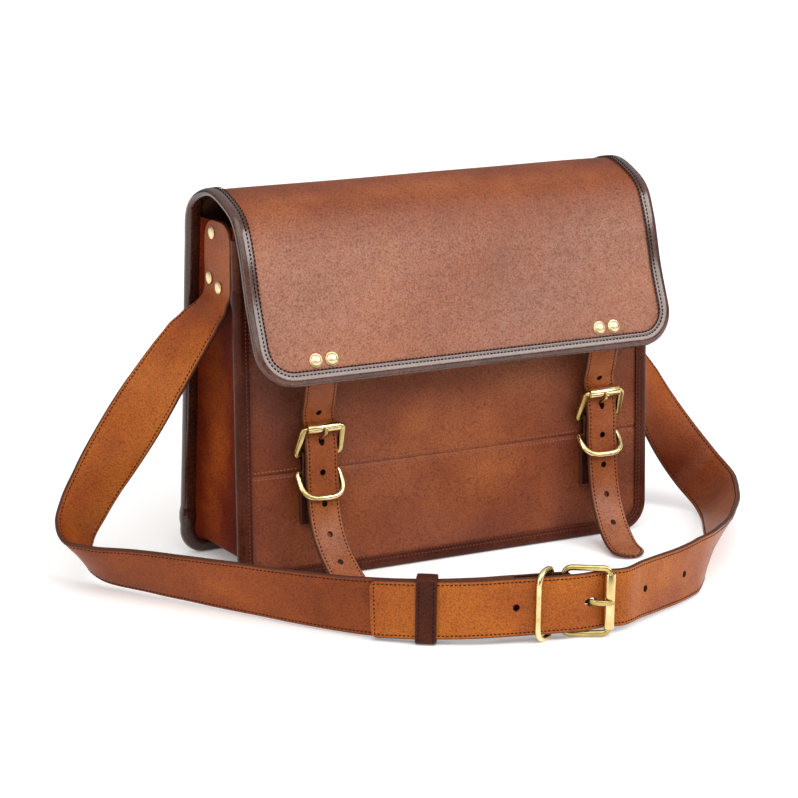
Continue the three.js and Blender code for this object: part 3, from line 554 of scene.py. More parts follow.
def thread(name, colour):
    """Waxed thread with a fine twist."""
    material, tree, shader = new_material(name)
    place = tree.nodes.new("ShaderNodeTexCoord").outputs["Object"]
    twist = add_node(tree, "ShaderNodeTexNoise", Scale=3500.0, Detail=2.0)
    tree.links.new(place, twist.inputs["Vector"])
    darker = [0.55 * c for c in colour]
    tree.links.new(mix_colour(tree, twist.outputs["Fac"], darker, colour), shader.inputs["Base Color"])
    bump = add_node(tree, "ShaderNodeBump", Strength=0.4, Distance=0.0002)
    tree.links.new(twist.outputs["Fac"], bump.inputs["Height"])
    tree.links.new(bump.outputs["Normal"], shader.inputs["Normal"])
    shader.inputs["Roughness"].default_value = 0.8
    shader.inputs["Specular IOR Level"].default_value = 0.1
    return material


BODY = leather("body_leather", (0.12, 0.017, 0.005), (0.27, 0.060, 0.015), (0.46, 0.135, 0.035),
               grain=0.6, gloss=0.24, mottle=0.42)
INSIDE = leather("flesh_side", (0.06, 0.018, 0.009), (0.11, 0.036, 0.018), (0.17, 0.065, 0.035),
                 roughness=(0.75, 0.95), grain=0.6, grain_size=0.7, gloss=0.05)
GUSSET = leather("gusset_leather", (0.05, 0.006, 0.003), (0.17, 0.022, 0.006), (0.42, 0.09, 0.012),
                 roughness=(0.5, 0.65), grain=0.25, gloss=0.02)
BINDING = leather("binding_leather", (0.012, 0.004, 0.003), (0.045, 0.012, 0.007), (0.11, 0.032, 0.018),
                  roughness=(0.2, 0.34), grain=0.12, grain_size=1.6, gloss=0.3, coat=0.7,
                  coat_roughness=0.14)
FRONT_BINDING = leather("front_binding_leather", (0.02, 0.004, 0.002), (0.07, 0.014, 0.006),
                        (0.14, 0.035, 0.017), roughness=(0.32, 0.46), grain=0.16, grain_size=1.4, gloss=0.14)
STRAP = leather("strap_leather", (0.11, 0.016, 0.004), (0.34, 0.075, 0.014), (0.60, 0.18, 0.018),
                roughness=(0.34, 0.48), grain=0.28, grain_size=0.9, gloss=0.2, mottle=0.34)
CLOSURE = leather("closure_leather", (0.17, 0.030, 0.008), (0.32, 0.08, 0.019), (0.50, 0.17, 0.05),
                  roughness=(0.3, 0.46), grain=0.3, grain_size=1.0, gloss=0.26, mottle=0.5)
DARK = leather("dark_leather", (0.022, 0.005, 0.003), (0.06, 0.012, 0.006), (0.11, 0.028, 0.014),
               roughness=(0.4, 0.6), grain=0.3, gloss=0.15)
HOLE = leather("punched_edge", (0.02, 0.008, 0.005), (0.05, 0.018, 0.01), (0.1, 0.04, 0.02),
               roughness=(0.6, 0.8), gloss=0.05)
BRIGHT_BRASS = brass("bright_brass", (0.90, 0.73, 0.40), (0.60, 0.44, 0.16), (0.13, 0.26))
DULL_BRASS = brass("antique_brass", (0.62, 0.48, 0.19), (0.30, 0.22, 0.07), (0.16, 0.3))
RIVET_BRASS = brass("rivet_brass", (0.88, 0.72, 0.42), (0.66, 0.50, 0.25), (0.3, 0.42))
DARK_THREAD = thread("dark_thread", (0.016, 0.007, 0.005))
STRAP_THREAD = thread("strap_thread", (0.045, 0.008, 0.003))
PINK_THREAD = thread("seam_thread", (0.38, 0.13, 0.08))
BINDING_THREAD = thread("binding_thread", (0.17, 0.045, 0.028))


# ---- Body leather ------------------------------------------------------------------------------
def plate_rows(low, high, low_radius, high_radius, spacing=4.0):
    """Height and half width of each row of a panel with rounded ends."""
    rows = []
    inner = low_radius - PANEL_INSET
    for turn in np.radians(np.linspace(0, 90, 9)[:-1]) if low_radius else []:
        rows.append((low + low_radius - inner * math.cos(turn),
                     HALF_WIDTH - low_radius + inner * math.sin(turn)))
    start, end = low + low_radius, high - high_radius
    for rise in np.linspace(start, end, max(2, int((end - start) / spacing))):
        rows.append((rise, HALF_WIDTH - PANEL_INSET))
    inner = high_radius - PANEL_INSET
    for turn in np.radians(np.linspace(90, 0, 9)[1:]) if high_radius else []:
        rows.append((high - high_radius + inner * math.cos(turn),
                     HALF_WIDTH - high_radius + inner * math.sin(turn)))
    return np.array(rows)


def edge_depth(x, rise, low, high):
    """Distance in from the bound edges."""
    return np.minimum(HALF_WIDTH - np.abs(x), np.minimum(rise - low, high - rise))


PLATE_COLUMNS = 72


def add_plate(name, place, rows, swell, tone, painted_sheen, replaces):
    rise = np.repeat(rows[:, :1], PLATE_COLUMNS, axis=1)
    x = rows[:, 1:] * np.linspace(-1, 1, PLATE_COLUMNS)[None, :]
    lift = swell(x, rise)
    outer = place(x, rise, LEATHER / 2 + lift)
    inner = place(x, rise, -LEATHER / 2 + lift)
    points, faces = slab(outer, inner)
    shade = tone(x, rise)
    # How much painted sheen each point gets.
    sheen_values = painted_sheen(x, rise)
    marks = {"tone": np.concatenate([shade, shade[:, ::-1]], axis=1), "rim": np.zeros(points.shape[0]),
             "painted_sheen": np.concatenate([sheen_values, sheen_values[:, ::-1]], axis=1)}
    piece = make_piece(name, points, faces, BODY, None, marks=marks)
    piece.data.materials.append(INSIDE)
    size = 2 * PLATE_COLUMNS
    for face in piece.data.polygons:
        if all(v % size >= PLATE_COLUMNS for v in face.vertices):
            face.material_index = 1
    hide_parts(*replaces)
    return piece


def flap_swell(x, rise):
    depth = edge_depth(x, rise, 0, LINE_LENGTH)
    pillow = 0.55 * (1 - np.exp(-np.clip(depth - BINDING_WIDTH, 0, None) / 7))
    pillow = pillow * (1 + 0.5 * wander(x / 34, rise / 27, 0.4))
    return pillow + 0.35 * wander(x / 70, rise / 60, 1.1) * (depth > 0)


def flap_tone(x, rise):
    """An even brown with darker clouds, a brown crest and an orange band before it."""
    shade = 0.5 + 0.2 * wander(x / 55, rise / 48, 2.0) + 0.1 * wander(x / 17, rise / 15, 0.2)
    return shade - 0.16 * np.exp(-((rise - 282) / 7) ** 2) + 0.22 * np.exp(-((rise - 302) / 11) ** 2)


def flap_painted_sheen(x, rise):
    """Painted sheen: the flap's hanging face is painted paler than the crest and the back, as a highlight."""
    hanging = np.clip((rise - 305) / 38, 0, 1)
    return hanging * (0.42 + 0.1 * wander(x / 42, rise / 36, 5.0)) + 0.04


def add_back_and_flap():
    rows = plate_rows(0, LINE_LENGTH, BACK_CORNER, FLAP_CORNER)
    piece = add_plate("back_and_flap_leather", on_leather, rows, flap_swell, flap_tone, flap_painted_sheen,
                      ["back_panel", "flap_leather"])
    bend_with_flap(piece)


def bend_with_flap(piece):
    """The leather's line turns over between the back's top edge and the start of the arch; this only bakes
    the piece's transform into its mesh. The flap hinge is looked up but not used.
    """
    hinge = next(j for j in frame["joints"] if j["name"] == "flap_hinge")
    pivot = Vector(hinge["pos_m"])
    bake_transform(piece)


def near_closures(x, z):
    """1 beside the closure chapes, falling to 0 away from them."""
    weight = 0
    for closure in CLOSURES:
        across = np.clip((np.abs(x - closure["buckle_x"]) - 16) / 22, 0, 1)
        up = np.clip((np.abs(z - 68) - 34) / 22, 0, 1)
        weight = weight + (1 - across) * (1 - up)
    return np.clip(weight, 0, 1)


def front_swell(x, rise):
    depth = edge_depth(x, rise, 0, OPEN_TOP)
    pillow = 0.5 * (1 - np.exp(-np.clip(depth - BINDING_WIDTH, 0, None) / 7))
    seam = -0.75 * np.exp(-((rise - SEAM_HEIGHT) / 1.3) ** 2)
    belly = 1.5 * np.sin(np.pi * np.clip(rise / 150, 0, 1)) * np.cos(np.pi * x / 2 / HALF_WIDTH)
    uneven = 0.7 * wander(x / 40, rise / 30, 0.9)
    return pillow * 0.6 + seam + (belly + uneven) * (1 - near_closures(x, rise)) * (depth > BINDING_WIDTH)


def strap_shadow_beside_closures(x):
    """1 just to the left of each closure strap, where a painted shadow of the strap lies."""
    return sum(np.exp(-((x - closure["buckle_x"] + 24) / 11) ** 2) for closure in CLOSURES)


def front_tone(x, rise):
    """Darker beside the bound edges; a painted shadow beside the closure straps and up under the flap."""
    depth = edge_depth(x, rise, 0, OPEN_TOP)
    shade = 0.5 + 0.22 * wander(x / 50, rise / 40, 3.0) + 0.1 * wander(x / 15, rise / 13, 1.0)
    shade = shade - 0.2 * np.clip((rise - 120) / 50, 0, 1) - 0.28 * strap_shadow_beside_closures(x)
    return shade - 0.38 * np.exp(-depth / 22)


def front_painted_sheen(x, rise):
    # A faint, uneven painted sheen over the front panel.
    return 0.07 + 0.05 * wander(x / 30, rise / 26, 4.0)


def add_front():
    lower = plate_rows(0, SEAM_HEIGHT - 0.15, FRONT_CORNER, 0, 3.0)
    upper = plate_rows(SEAM_HEIGHT + 0.15, FRONT_HEIGHT, 0, 0, 4.0)
    extra = SEAM_HEIGHT + np.array([0.6, 1.2, 2.0, 3.0])
    upper = np.vstack([upper[:1], [(z, upper[0, 1]) for z in extra], upper[1:]])
    below = [(2 * SEAM_HEIGHT - z, lower[-1, 1]) for z in extra[::-1]]
    lower = np.vstack([lower[:-1][lower[:-1, 0] < SEAM_HEIGHT - 3.2], below, lower[-1:]])
    for name, rows in (("front_lower_leather", lower), ("front_upper_leather", upper)):
        node = name.replace("front_", "front_panel_").replace("_leather", "")
        piece = add_plate(name, on_front, rows, front_swell, front_tone, front_painted_sheen, [node])
        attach(piece, "bag")
    rows = []
    for offset in (-2.4, 2.4):
        x = np.linspace(BINDING_WIDTH + 1.5 - HALF_WIDTH, HALF_WIDTH - BINDING_WIDTH - 1.5, 160)
        z = np.full_like(x, SEAM_HEIGHT + offset)
        points = on_front(x, z, LEATHER / 2 + front_swell(x, z) + THREAD_LIFT)
        rows.append(row_on(points, np.tile([0.0, -1.0, 0.05], (len(x), 1))))
    add_stitches("front_seam_stitches", rows, PINK_THREAD, "bag", 1.8, 0.4)


# ---- Edge bindings -----------------------------------------------------------------------------
def outline(low, high, low_radius, high_radius, open_top=False, spacing=4.0):
    """Stations round an edge: x, rise and the inward direction."""
    stations = []
    for side in (-1, 1):
        half = []
        for turn in np.radians(np.linspace(0, 90, 11)):
            half.append((side * (HALF_WIDTH - low_radius + low_radius * math.sin(turn)),
                         low + low_radius - low_radius * math.cos(turn),
                         -side * math.sin(turn), math.cos(turn)))
        start, end = low + low_radius, high - high_radius
        for rise in np.linspace(start, end, int((end - start) / spacing))[1:]:
            half.append((side * HALF_WIDTH, rise, -side, 0))
        if not open_top:
            for turn in np.radians(np.linspace(90, 0, 11))[1:]:
                half.append((side * (HALF_WIDTH - high_radius + high_radius * math.sin(turn)),
                             high - high_radius + high_radius * math.cos(turn),
                             -side * math.sin(turn), -math.cos(turn)))
        across = np.linspace(0, half[0][0], 40)[:-1]
        half = [(x, low, 0, 1) for x in across] + half
        if not open_top:
            across = np.linspace(half[-1][0], 0, 40)[1:]
            half += [(x, high, 0, -1) for x in across]
        stations.append(half)
    left, right = stations
    loop = left[::-1] + right[1:]
    return np.array(loop if open_top else loop[:-1], float)


def binding_section(front, back):
    """Closed outline of the folded tape, as inward and outward."""
    nose = 2.4
    middle, reach = (front - back) / 2, (front + back) / 2
    width = BINDING_WIDTH
    outer = [(width, front - TAPE), (width, front - 0.45), (width - 0.5, front - 0.1), (width - 1.6, front),
             (width - 2.7, front - 0.15), (width * 0.55, front + 0.3), (nose + 1.2, front + 0.35),
             (nose + 0.2, front + 0.15)]
    for turn in np.radians(np.linspace(90, -90, 13)):
        outer.append((nose - nose * math.cos(turn), middle + reach * math.sin(turn)))
    outer += [(nose + 0.6, -back - 0.1), (width * 0.55, -back - 0.15), (width - 0.5, -back + 0.05),
              (width, -back + 0.45), (width, -back + TAPE), (2.0, -back + TAPE), (2.0, front - TAPE)]
    return np.array(outer)


def add_binding(name, place, stations, backs, closed, replaces, rows, joint_at, tape, stitching):
    rings = []
    for i, (x, rise, in_x, in_rise) in enumerate(stations):
        section = binding_section(GROOVE + TAPE, backs[i])
        uneven = 0.12 * wander(i / 5.3, 0.4, 2.2)
        inward = section[:, 0]
        outward = section[:, 1] + np.sign(section[:, 1]) * uneven
        rings.append(place(x + inward * in_x, rise + inward * in_rise, outward))
    points, faces = loft(rings, closed)
    size = rings[0].shape[0]
    # Painted highlight: the tape on the flap's hanging face is painted lighter, and its outer roll there gets
    # painted sheen; the rest of the tone varies at random.
    hanging = np.clip((stations[:, 1] - 262) / 50, 0, 1)
    uneven_and_sheen = 0.5 + 0.1 * hanging + 0.25 * wander(np.arange(len(stations)) / 7.0, 1.0, 0.3)
    tone = np.repeat(uneven_and_sheen[:, None], size, axis=1)
    roll = (section[:, 0] < BINDING_WIDTH * 0.6) * (section[:, 1] > -1)
    painted_roll_sheen = 0.08 * hanging * (1 + 0.4 * wander(np.arange(len(stations)) / 3.0, 2.0, 1.3))
    marks = {"tone": tone, "rim": np.zeros(points.shape[0]), "painted_sheen": painted_roll_sheen[:, None] * roll[None, :]}
    piece = make_piece(name, points, faces, tape, None, marks=marks, flat_angle=60)
    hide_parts(*replaces)
    stitch_rows = []
    for inward, side in rows:
        height = [GROOVE + TAPE + THREAD_LIFT if side > 0 else -backs[i] - 0.1 for i in range(len(stations))]
        x, rise, in_x, in_rise = stations.T
        on = place(x + inward * in_x, rise + inward * in_rise, np.array(height))
        off = place(x + inward * in_x, rise + inward * in_rise, np.array(height) + side)
        stitch_rows.append(row_on(on, off - on, closed=closed))
    stitches = add_stitches(f"{name}_stitches", stitch_rows, stitching, None, 2.0, 0.45)
    overlap = add_tape_joint(f"{name}_joint", place, stations, backs, joint_at, tape)
    return piece, stitches, overlap


def add_tape_joint(name, place, stations, backs, at, tape):
    """A short second layer where the two ends of the tape lap over each other."""
    x, rise, in_x, in_rise = stations[at:at + 4].T
    rings = []
    for i, lift in zip(range(4), (0.15, 0.7, 0.7, 0.15)):
        section = binding_section(GROOVE + TAPE + lift, backs[at + i] + lift)
        inward = section[:, 0] - lift * (section[:, 0] < 1)
        rings.append(place(x[i] + inward * in_x[i], rise[i] + inward * in_rise[i], section[:, 1]))
    points, faces = loft(rings)
    marks = {"tone": np.full(points.shape[0], 0.4), "rim": np.zeros(points.shape[0])}
    return make_piece(name, points, faces, tape, None, marks=marks, flat_angle=60)


INNER_ROW = BINDING_WIDTH - 0.1
OUTER_ROW = BINDING_WIDTH - 2.7


def add_bindings():
    stations = outline(0, LINE_LENGTH, BACK_CORNER, FLAP_CORNER)
    thick, thin = GROOVE + GUSSET_LEATHER + GAP + TAPE, GROOVE + TAPE
    share = np.clip((stations[:, 1] - GUSSET_TOP) / 10, 0, 1)
    rows = [(INNER_ROW, 1), (OUTER_ROW, 1)]
    low_left = np.argmin(np.abs(stations[:, 1] - 34) + 500 * (stations[:, 0] > 0))
    made = add_binding("edge_binding", on_leather, stations, thick + (thin - thick) * share, True,
                       ["back_binding", "flap_binding"], rows, low_left, BINDING, DARK_THREAD)
    for piece in made:
        bend_with_flap(piece)
    stations = outline(0, FRONT_HEIGHT, FRONT_CORNER, 0, open_top=True)
    made = add_binding("front_edge_binding", on_front, stations, np.full(len(stations), thick), False,
                       ["front_binding"], rows, 8, FRONT_BINDING, BINDING_THREAD)
    for piece in made:
        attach(piece, "bag")


# ---- Gusset ------------------------------------------------------------------------------------
def add_gusset():
    """One strip down the left side, under the bag and up the right, with flanges turned outward."""
    stations = outline(0, GUSSET_TOP, FRONT_CORNER, 0, open_top=True, spacing=3.0)
    edge = PANEL_INSET + 0.2
    half = GUSSET_LEATHER / 2
    share = np.linspace(0, 1, 25)
    rings, tones = [], []
    for i, (x, rise, in_x, in_rise) in enumerate(stations):
        height = rise + GUSSET_INSET * in_rise
        front = on_front(0, height, -GROOVE)[1]
        back = on_leather(0, height, -GROOVE)[1]
        slack = math.sin(math.pi * min(1, max(0, (rise - 12) / 160))) if abs(in_x) > 0.5 else 0
        folds = 4.2 * slack * np.sin(np.pi * share) ** 1.6
        folds = folds + slack * (0.9 * np.sin(share * 9 + rise / 19) * np.sin(np.pi * share) ** 2)
        crease = 1.1 * math.exp(-((rise - 34) / 5) ** 2) + 0.9 * math.exp(-((rise - 49) / 4) ** 2)
        folds = folds + crease * np.clip(np.sin(share * 5 - 0.6), 0, 1) * slack * 1.5
        curl = 5.0
        wall_y = front + half + curl + (back - front - 2 * half - 2 * curl) * share
        flat = GUSSET_INSET + half - curl
        line = [(edge, front + half), (flat, front + half)]
        for turn in np.radians([30, 60]):
            line.append((flat + curl * math.sin(turn), front + half + curl - curl * math.cos(turn)))
        line += list(zip(GUSSET_INSET + half + folds, wall_y))
        for turn in np.radians([60, 30]):
            line.append((flat + curl * math.sin(turn), back - half - curl + curl * math.cos(turn)))
        line += [(flat, back - half), (edge, back - half)]
        line = np.array(line)
        run = unit(np.gradient(line, axis=0))
        normal = np.stack([run[:, 1], -run[:, 0]], axis=1)
        loop = np.vstack([line + normal * half, (line - normal * half)[::-1]])
        rings.append(np.stack([x + loop[:, 0] * in_x, loop[:, 1], rise + loop[:, 0] * in_rise], axis=1))
        # Painted light: the side walls are painted brighter and more orange in a patch towards the back,
        # around 95 mm up, where light falls on them; a little random unevenness on top.
        towards_back = np.exp(-((np.linspace(0, 1, len(line)) - 0.62) / 0.2) ** 2)
        painted_light_patch = 0.36 + 0.42 * math.exp(-((rise - 95) / 60) ** 2) * towards_back
        painted_light_patch = painted_light_patch + 0.08 * wander(i / 6, np.arange(len(line)) / 4.0, 0.7)
        tones.append(np.concatenate([painted_light_patch, painted_light_patch[::-1]]))
    points, faces = loft(rings)
    piece = make_piece("gusset_leather", points, faces, GUSSET, "bag", marks={
        "tone": np.array(tones), "rim": np.zeros(points.shape[0])}, flat_angle=60)
    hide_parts("gusset")


# ---- Straps ------------------------------------------------------------------------------------
STITCH_INSET = 2.5


def strap_section(half, thickness):
    """Closed outline of a strap, as across and off the face, with a mark that is 1 on the cut edges."""
    soft = min(1.1, thickness / 2)
    groove = 0.22
    flat = half - soft
    stops = [-flat, -(half - 1.6), -(half - STITCH_INSET), -(half - 3.6), -0.5 * half, 0.0]
    stops += [-s for s in stops[-2::-1]]
    dips = [0, 0.06, -groove, 0.08, 0.16, 0.2, 0.16, 0.08, -groove, 0.06, 0]
    rims = [0.12 if abs(u) >= flat - 0.01 else 0.0 for u in stops]
    top = [(u, thickness / 2 + d, rim) for u, d, rim in zip(stops, dips, rims)]
    turns = np.radians([30, 65, 90, 115, 150])
    right = [(flat + soft * math.sin(t), thickness / 2 * math.cos(t), 1.0) for t in turns]
    below = [(u, -thickness / 2 - 0.5 * d, rim) for u, d, rim in zip(stops[::-1], dips, rims[::-1])]
    left = [(-u, v, r) for u, v, r in right[::-1]]
    return np.array(top + right + below + left)


def end_width(width, distance, radius):
    """Width near a rounded end, at a distance from it."""
    inside = np.clip(radius - distance, 0, radius)
    return width - 2 * (radius - np.sqrt(radius ** 2 - inside ** 2))


def station_lengths(start, end, spacing, radius=0.0):
    """Evenly spaced stations, close together where the end is rounded."""
    lengths = list(np.linspace(start, end - radius, max(2, int((end - radius - start) / spacing))))
    if radius:
        lengths += [end - radius + radius * math.sin(t) for t in np.radians([15, 30, 45, 58, 70, 80, 90])]
    return np.array(lengths)


def add_strap(name, route, lengths, widths, thickness, material, tone, dent=None, painted_sheen=None):
    sections = [strap_section(w / 2, thickness) for w in widths]
    u = np.array([s[:, 0] for s in sections])
    v = np.array([s[:, 1] for s in sections])
    rim = np.array([s[:, 2] for s in sections])
    length = np.repeat(lengths[:, None], u.shape[1], axis=1)
    if dent is not None:
        v = v + dent(length, u)
    points, faces = loft(route.place(length, u, v))
    marks = {"tone": tone(length, u), "rim": rim}
    if painted_sheen is not None:
        marks["painted_sheen"] = painted_sheen(length, u)
    return make_piece(name, points, faces, material, None, marks=marks)


def strap_rows(route, start, end, width, thickness, radius=0.0, dent=None):
    """Stitch rows near both edges of a strap, joined round a rounded far end."""
    rows = []
    reach = end - STITCH_INSET if radius else end
    lengths = station_lengths(start, reach, 2.0, max(0.0, radius - STITCH_INSET))
    half = np.full(len(lengths), width / 2 - STITCH_INSET)
    if radius:
        half = end_width(width, end - lengths, radius) / 2 - STITCH_INSET
    for face in (1, -1):
        lift = face * (thickness / 2 - 0.02)
        sides = []
        for side in (-1, 1):
            u = side * half
            v = np.full_like(lengths, lift)
            if dent is not None:
                v = v + dent(lengths, u)
            sides.append(route.place(lengths, u, v))
        outs = route.at(lengths)[3] * face
        if radius:
            tip = np.linspace(sides[0][-1], sides[1][-1], 5)[1:-1]
            line = np.vstack([sides[0], tip, sides[1][::-1]])
            out = np.vstack([outs, np.tile(outs[-1], (3, 1)), outs[::-1]])
            rows.append(row_on(line, out))
        else:
            rows += [row_on(line, outs) for line in sides]
    return rows


# The routes of the straps: middle and, for the shoulder strap, the direction to its upper edge.
# The shoulder strap's points began as a fitted ribbon, then were thinned out and partly moved.
HEEL_HEIGHT = 86
CLOSURES = [
    {"side": "left", "rivet_x": -112, "buckle_x": -103.5, "loop_out": 14.6, "loop_drop": 28,
     "tail": [(-103.5, -6.5, 60), (-103.5, -9.5, 47), (-103.5, -16.5, 33), (-103, -29, 19.5),
              (-102, -46, 8.5), (-101, -66, 2.6)]},
    {"side": "right", "rivet_x": 106, "buckle_x": 116, "loop_out": 15.4, "loop_drop": 24.5,
     "tail": [(116, -6.5, 60), (116, -8.5, 47), (115.5, -14, 31), (114.5, -25, 14.5),
              (112, -40, 5), (109, -59, 2.3)]},
]
SHOULDER_LEFT = [
    (-173, 51, 162, -0.28, 0.93, 0.25),
    (-195, 53, 132, -0.49, 0.77, 0.41), (-214, 60, 99, -0.77, 0.41, 0.5), (-231, 69, 66, -0.89, 0.05, 0.46),
    (-240, 71, 49, -0.89, -0.08, 0.45), (-248, 68, 35, -0.83, -0.27, 0.49),
    (-252, 57, 24, -0.67, -0.38, 0.64),
    (-245, 42, 19, -0.5, -0.36, 0.79), (-225, 12, 19, -0.42, -0.26, 0.87),
    (-190, -42, 19.6, -0.26, -0.17, 0.95),
    (-153, -97, 20, -0.12, -0.08, 0.99), (-130, -124, 20.6, 0, 0, 1), (-105, -145, 22, 0, 0, 1),
    (-80, -160.5, 23.5, 0, 0, 1), (-56, -168, 24, 0, 0, 1),
]
SHOULDER_RIGHT = [
    (169, 51, 152, 0.15, 0.98, 0.1),
    (174, 51, 133, 0.3, 0.93, 0.18), (180, 50, 114, 0.52, 0.81, 0.26), (188, 48, 93, 0.78, 0.5, 0.36),
    (197.5, 45, 71, 0.86, 0.22, 0.46), (210, 40, 49.5, 0.85, -0.02, 0.53), (222, 31, 30, 0.77, -0.26, 0.58),
    (224, 11, 19, 0.65, -0.34, 0.68), (213, -12, 17.5, 0.57, -0.31, 0.76), (199, -34, 18.5, 0.54, -0.3, 0.79),
    (184, -56, 18.8, 0.5, -0.3, 0.81), (169, -75, 19, 0.44, -0.3, 0.85), (153, -94, 19.4, 0.38, -0.3, 0.87),
    (137, -111, 19.7, 0.27, -0.28, 0.92), (121, -128, 20, 0.12, -0.15, 0.98), (102, -143, 20.3, 0, 0, 1),
    (80, -156, 21, 0, 0, 1), (56, -167.5, 22.4, 0, 0, 1), (34, -177, 23.5, 0, 0, 1),
]
SHOULDER_HEEL = np.array([-24.0, -176, 24])
SHOULDER_TURN = math.radians(-14)
BUCKLE_ALONG = np.array([math.cos(SHOULDER_TURN), math.sin(SHOULDER_TURN), 0])
BUCKLE_OUT = np.array([math.sin(SHOULDER_TURN), -math.cos(SHOULDER_TURN), 0])
TAIL_IN_BUCKLE = [(40, 0.4), (28, 1.4), (18, 4), (8, 6.3), (0, 6.6), (-22, 6.4), (-42, 5.8)]
TAIL_BEYOND = [(-82.5, -165.2, 23.5), (-108, -149.4, 22.3), (-134.5, -126.8, 20.8)]


def in_shoulder_buckle(along, out):
    return SHOULDER_HEEL + BUCKLE_ALONG * along + BUCKLE_OUT * out


class Place:
    """A local frame: across, along and out directions from an origin."""

    def __init__(self, origin, across, along, out):
        self.origin = np.array(origin, float)
        self.axes = np.array([across, along, out], float)

    def __call__(self, u, along, out):
        u, along, out = np.broadcast_arrays(*(np.asarray(q, float) for q in (u, along, out)))
        return self.origin + np.stack([u, along, out], axis=-1) @ self.axes


def closure_place(closure):
    lean = math.atan(FRONT_LEAN)
    return Place((closure["buckle_x"], front_face(HEEL_HEIGHT), HEEL_HEIGHT), (1, 0, 0),
                 (0, math.sin(lean), math.cos(lean)), (0, -math.cos(lean), math.sin(lean)))


shoulder_place = Place(SHOULDER_HEEL, (0, 0, 1), BUCKLE_ALONG, BUCKLE_OUT)


def bent_strip(place, path):
    """A route through [out, along] points of a local frame."""
    points = [place(0, along, out) for out, along in path]
    return Route(points, [place.axes[0]] * len(points), 16)


def add_closure_strap(closure):
    side, x = closure["side"], closure["buckle_x"]

    def behind_flap(rise):
        return on_leather(closure["rivet_x"], LINE_LENGTH - rise, -5.0)

    def before_front(share, z, out):
        middle = closure["rivet_x"] + (x - closure["rivet_x"]) * share
        return (middle, front_face(z) - out, z)

    points = [behind_flap(34), behind_flap(20), behind_flap(7), before_front(0.35, 128, 19),
              before_front(0.75, 114.5, 9.6), before_front(1, HEEL_HEIGHT + 18.5, 7.4),
              before_front(1, HEEL_HEIGHT + 9.5, 8.9), before_front(1, HEEL_HEIGHT, 9.9),
              before_front(1, HEEL_HEIGHT - 12, 9.9), *closure["tail"]]
    route = Route(points, [(1, 0, 0)] * len(points), 24)
    radius = 11.0
    lengths = station_lengths(0, route.total, 1.6, radius)
    widths = end_width(CLOSURE_WIDTH, route.total - lengths, radius)
    seed = 1.0 + 0.02 * x

    def dent(length, u):
        return 0.16 * wander(length / 5.5, u / 4.5, seed) + 0.1 * wander(length / 2.4, u / 9.0, seed + 2)

    # Painted shade: the strap is darker near its top end, under the flap; the rest varies at random.
    def tone(length, u):
        return 0.5 + 0.2 * wander(length / 12, u / 6, seed) - 0.25 * np.exp(-length / 30)

    # Painted sheen on the lower part of the strap.
    def painted_sheen(length, u):
        lower = np.clip((length - 0.6 * route.total) / 30, 0, 1)
        return 0.24 * lower * (0.7 + 0.3 * wander(length / 9, u / 5, seed))

    piece = add_strap(f"closure_strap_{side}_leather", route, lengths, widths, CLOSURE_LEATHER, CLOSURE,
                      tone, dent, painted_sheen)
    slot_at = route.nearest((x, front_face(95.6) - 8.9, HEEL_HEIGHT + 9.6))
    cutters = []
    for step in (-1, 0, 1, 2, 3, 4):
        point, along, _, face = (q[0] for q in route.at(slot_at + 21 * step))
        cutters.append(make_cutter(point, face, 2.1, 8, HOLE, (along, 1.6) if step == 0 else None))
    apply_cut(piece, cutters)
    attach(piece, "flap")
    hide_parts(f"closure_strap_{side}")
    rows = strap_rows(route, 2, route.total, CLOSURE_WIDTH, CLOSURE_LEATHER, radius, dent=dent)
    add_stitches(f"closure_strap_{side}_stitches", rows, STRAP_THREAD, "flap", 1.7, 0.42)


def add_closure_chape(closure):
    side = closure["side"]
    place = closure_place(closure)
    path = [(1.3, -47), (1.3, -34), (1.5, -20), (1.7, -12), (1.8, -5), (2.1, -1.6), (4.4, 2.5), (6.8, 0.4),
            (6.5, -5), (6.4, -12.5), (5.2, -17.5), (3.3, -23), (3.15, -34), (3.15, -47)]
    route = bent_strip(place, path)
    lengths = np.linspace(0, route.total, 90)

    def tone(length, u):
        return 0.5 + 0.25 * wander(length / 8, u / 6, 0.3)

    piece = add_strap(f"closure_chape_{side}_leather", route, lengths, np.full(90, 25.4), 1.7, DARK,
                      tone)
    cutter = box_cutter(place, (-2.2, 2.2), (-4.5, 8), (-1, 12))
    apply_cut(piece, [cutter])
    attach(piece, "bag")
    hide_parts(f"closure_chape_{side}")
    rows = []
    for u in (-10, 10):
        along = np.linspace(-46, -21, 20)
        rows.append(row_on(place(u, along, 4.1), np.tile(place.axes[2], (20, 1))))
    for v in (-21, -45):
        across = np.linspace(-10, 10, 12)
        rows.append(row_on(place(across, v, 4.1 + 0.4 * (v > -30)), np.tile(place.axes[2], (12, 1))))
    add_stitches(f"closure_chape_{side}_stitches", rows, STRAP_THREAD, "bag", 1.8, 0.36)


def box_cutter(place, across, along, out):
    corners = [place(u, v, w) for u in across for v in along for w in out]
    faces = [(0, 1, 3, 2), (4, 6, 7, 5), (0, 4, 5, 1), (2, 3, 7, 6), (0, 2, 6, 4), (1, 5, 7, 3)]
    return new_cutter(corners, faces, HOLE)


# ---- Hardware ----------------------------------------------------------------------------------
LOOP_WIRE = 1.9
LOOP_STEP = 1.6


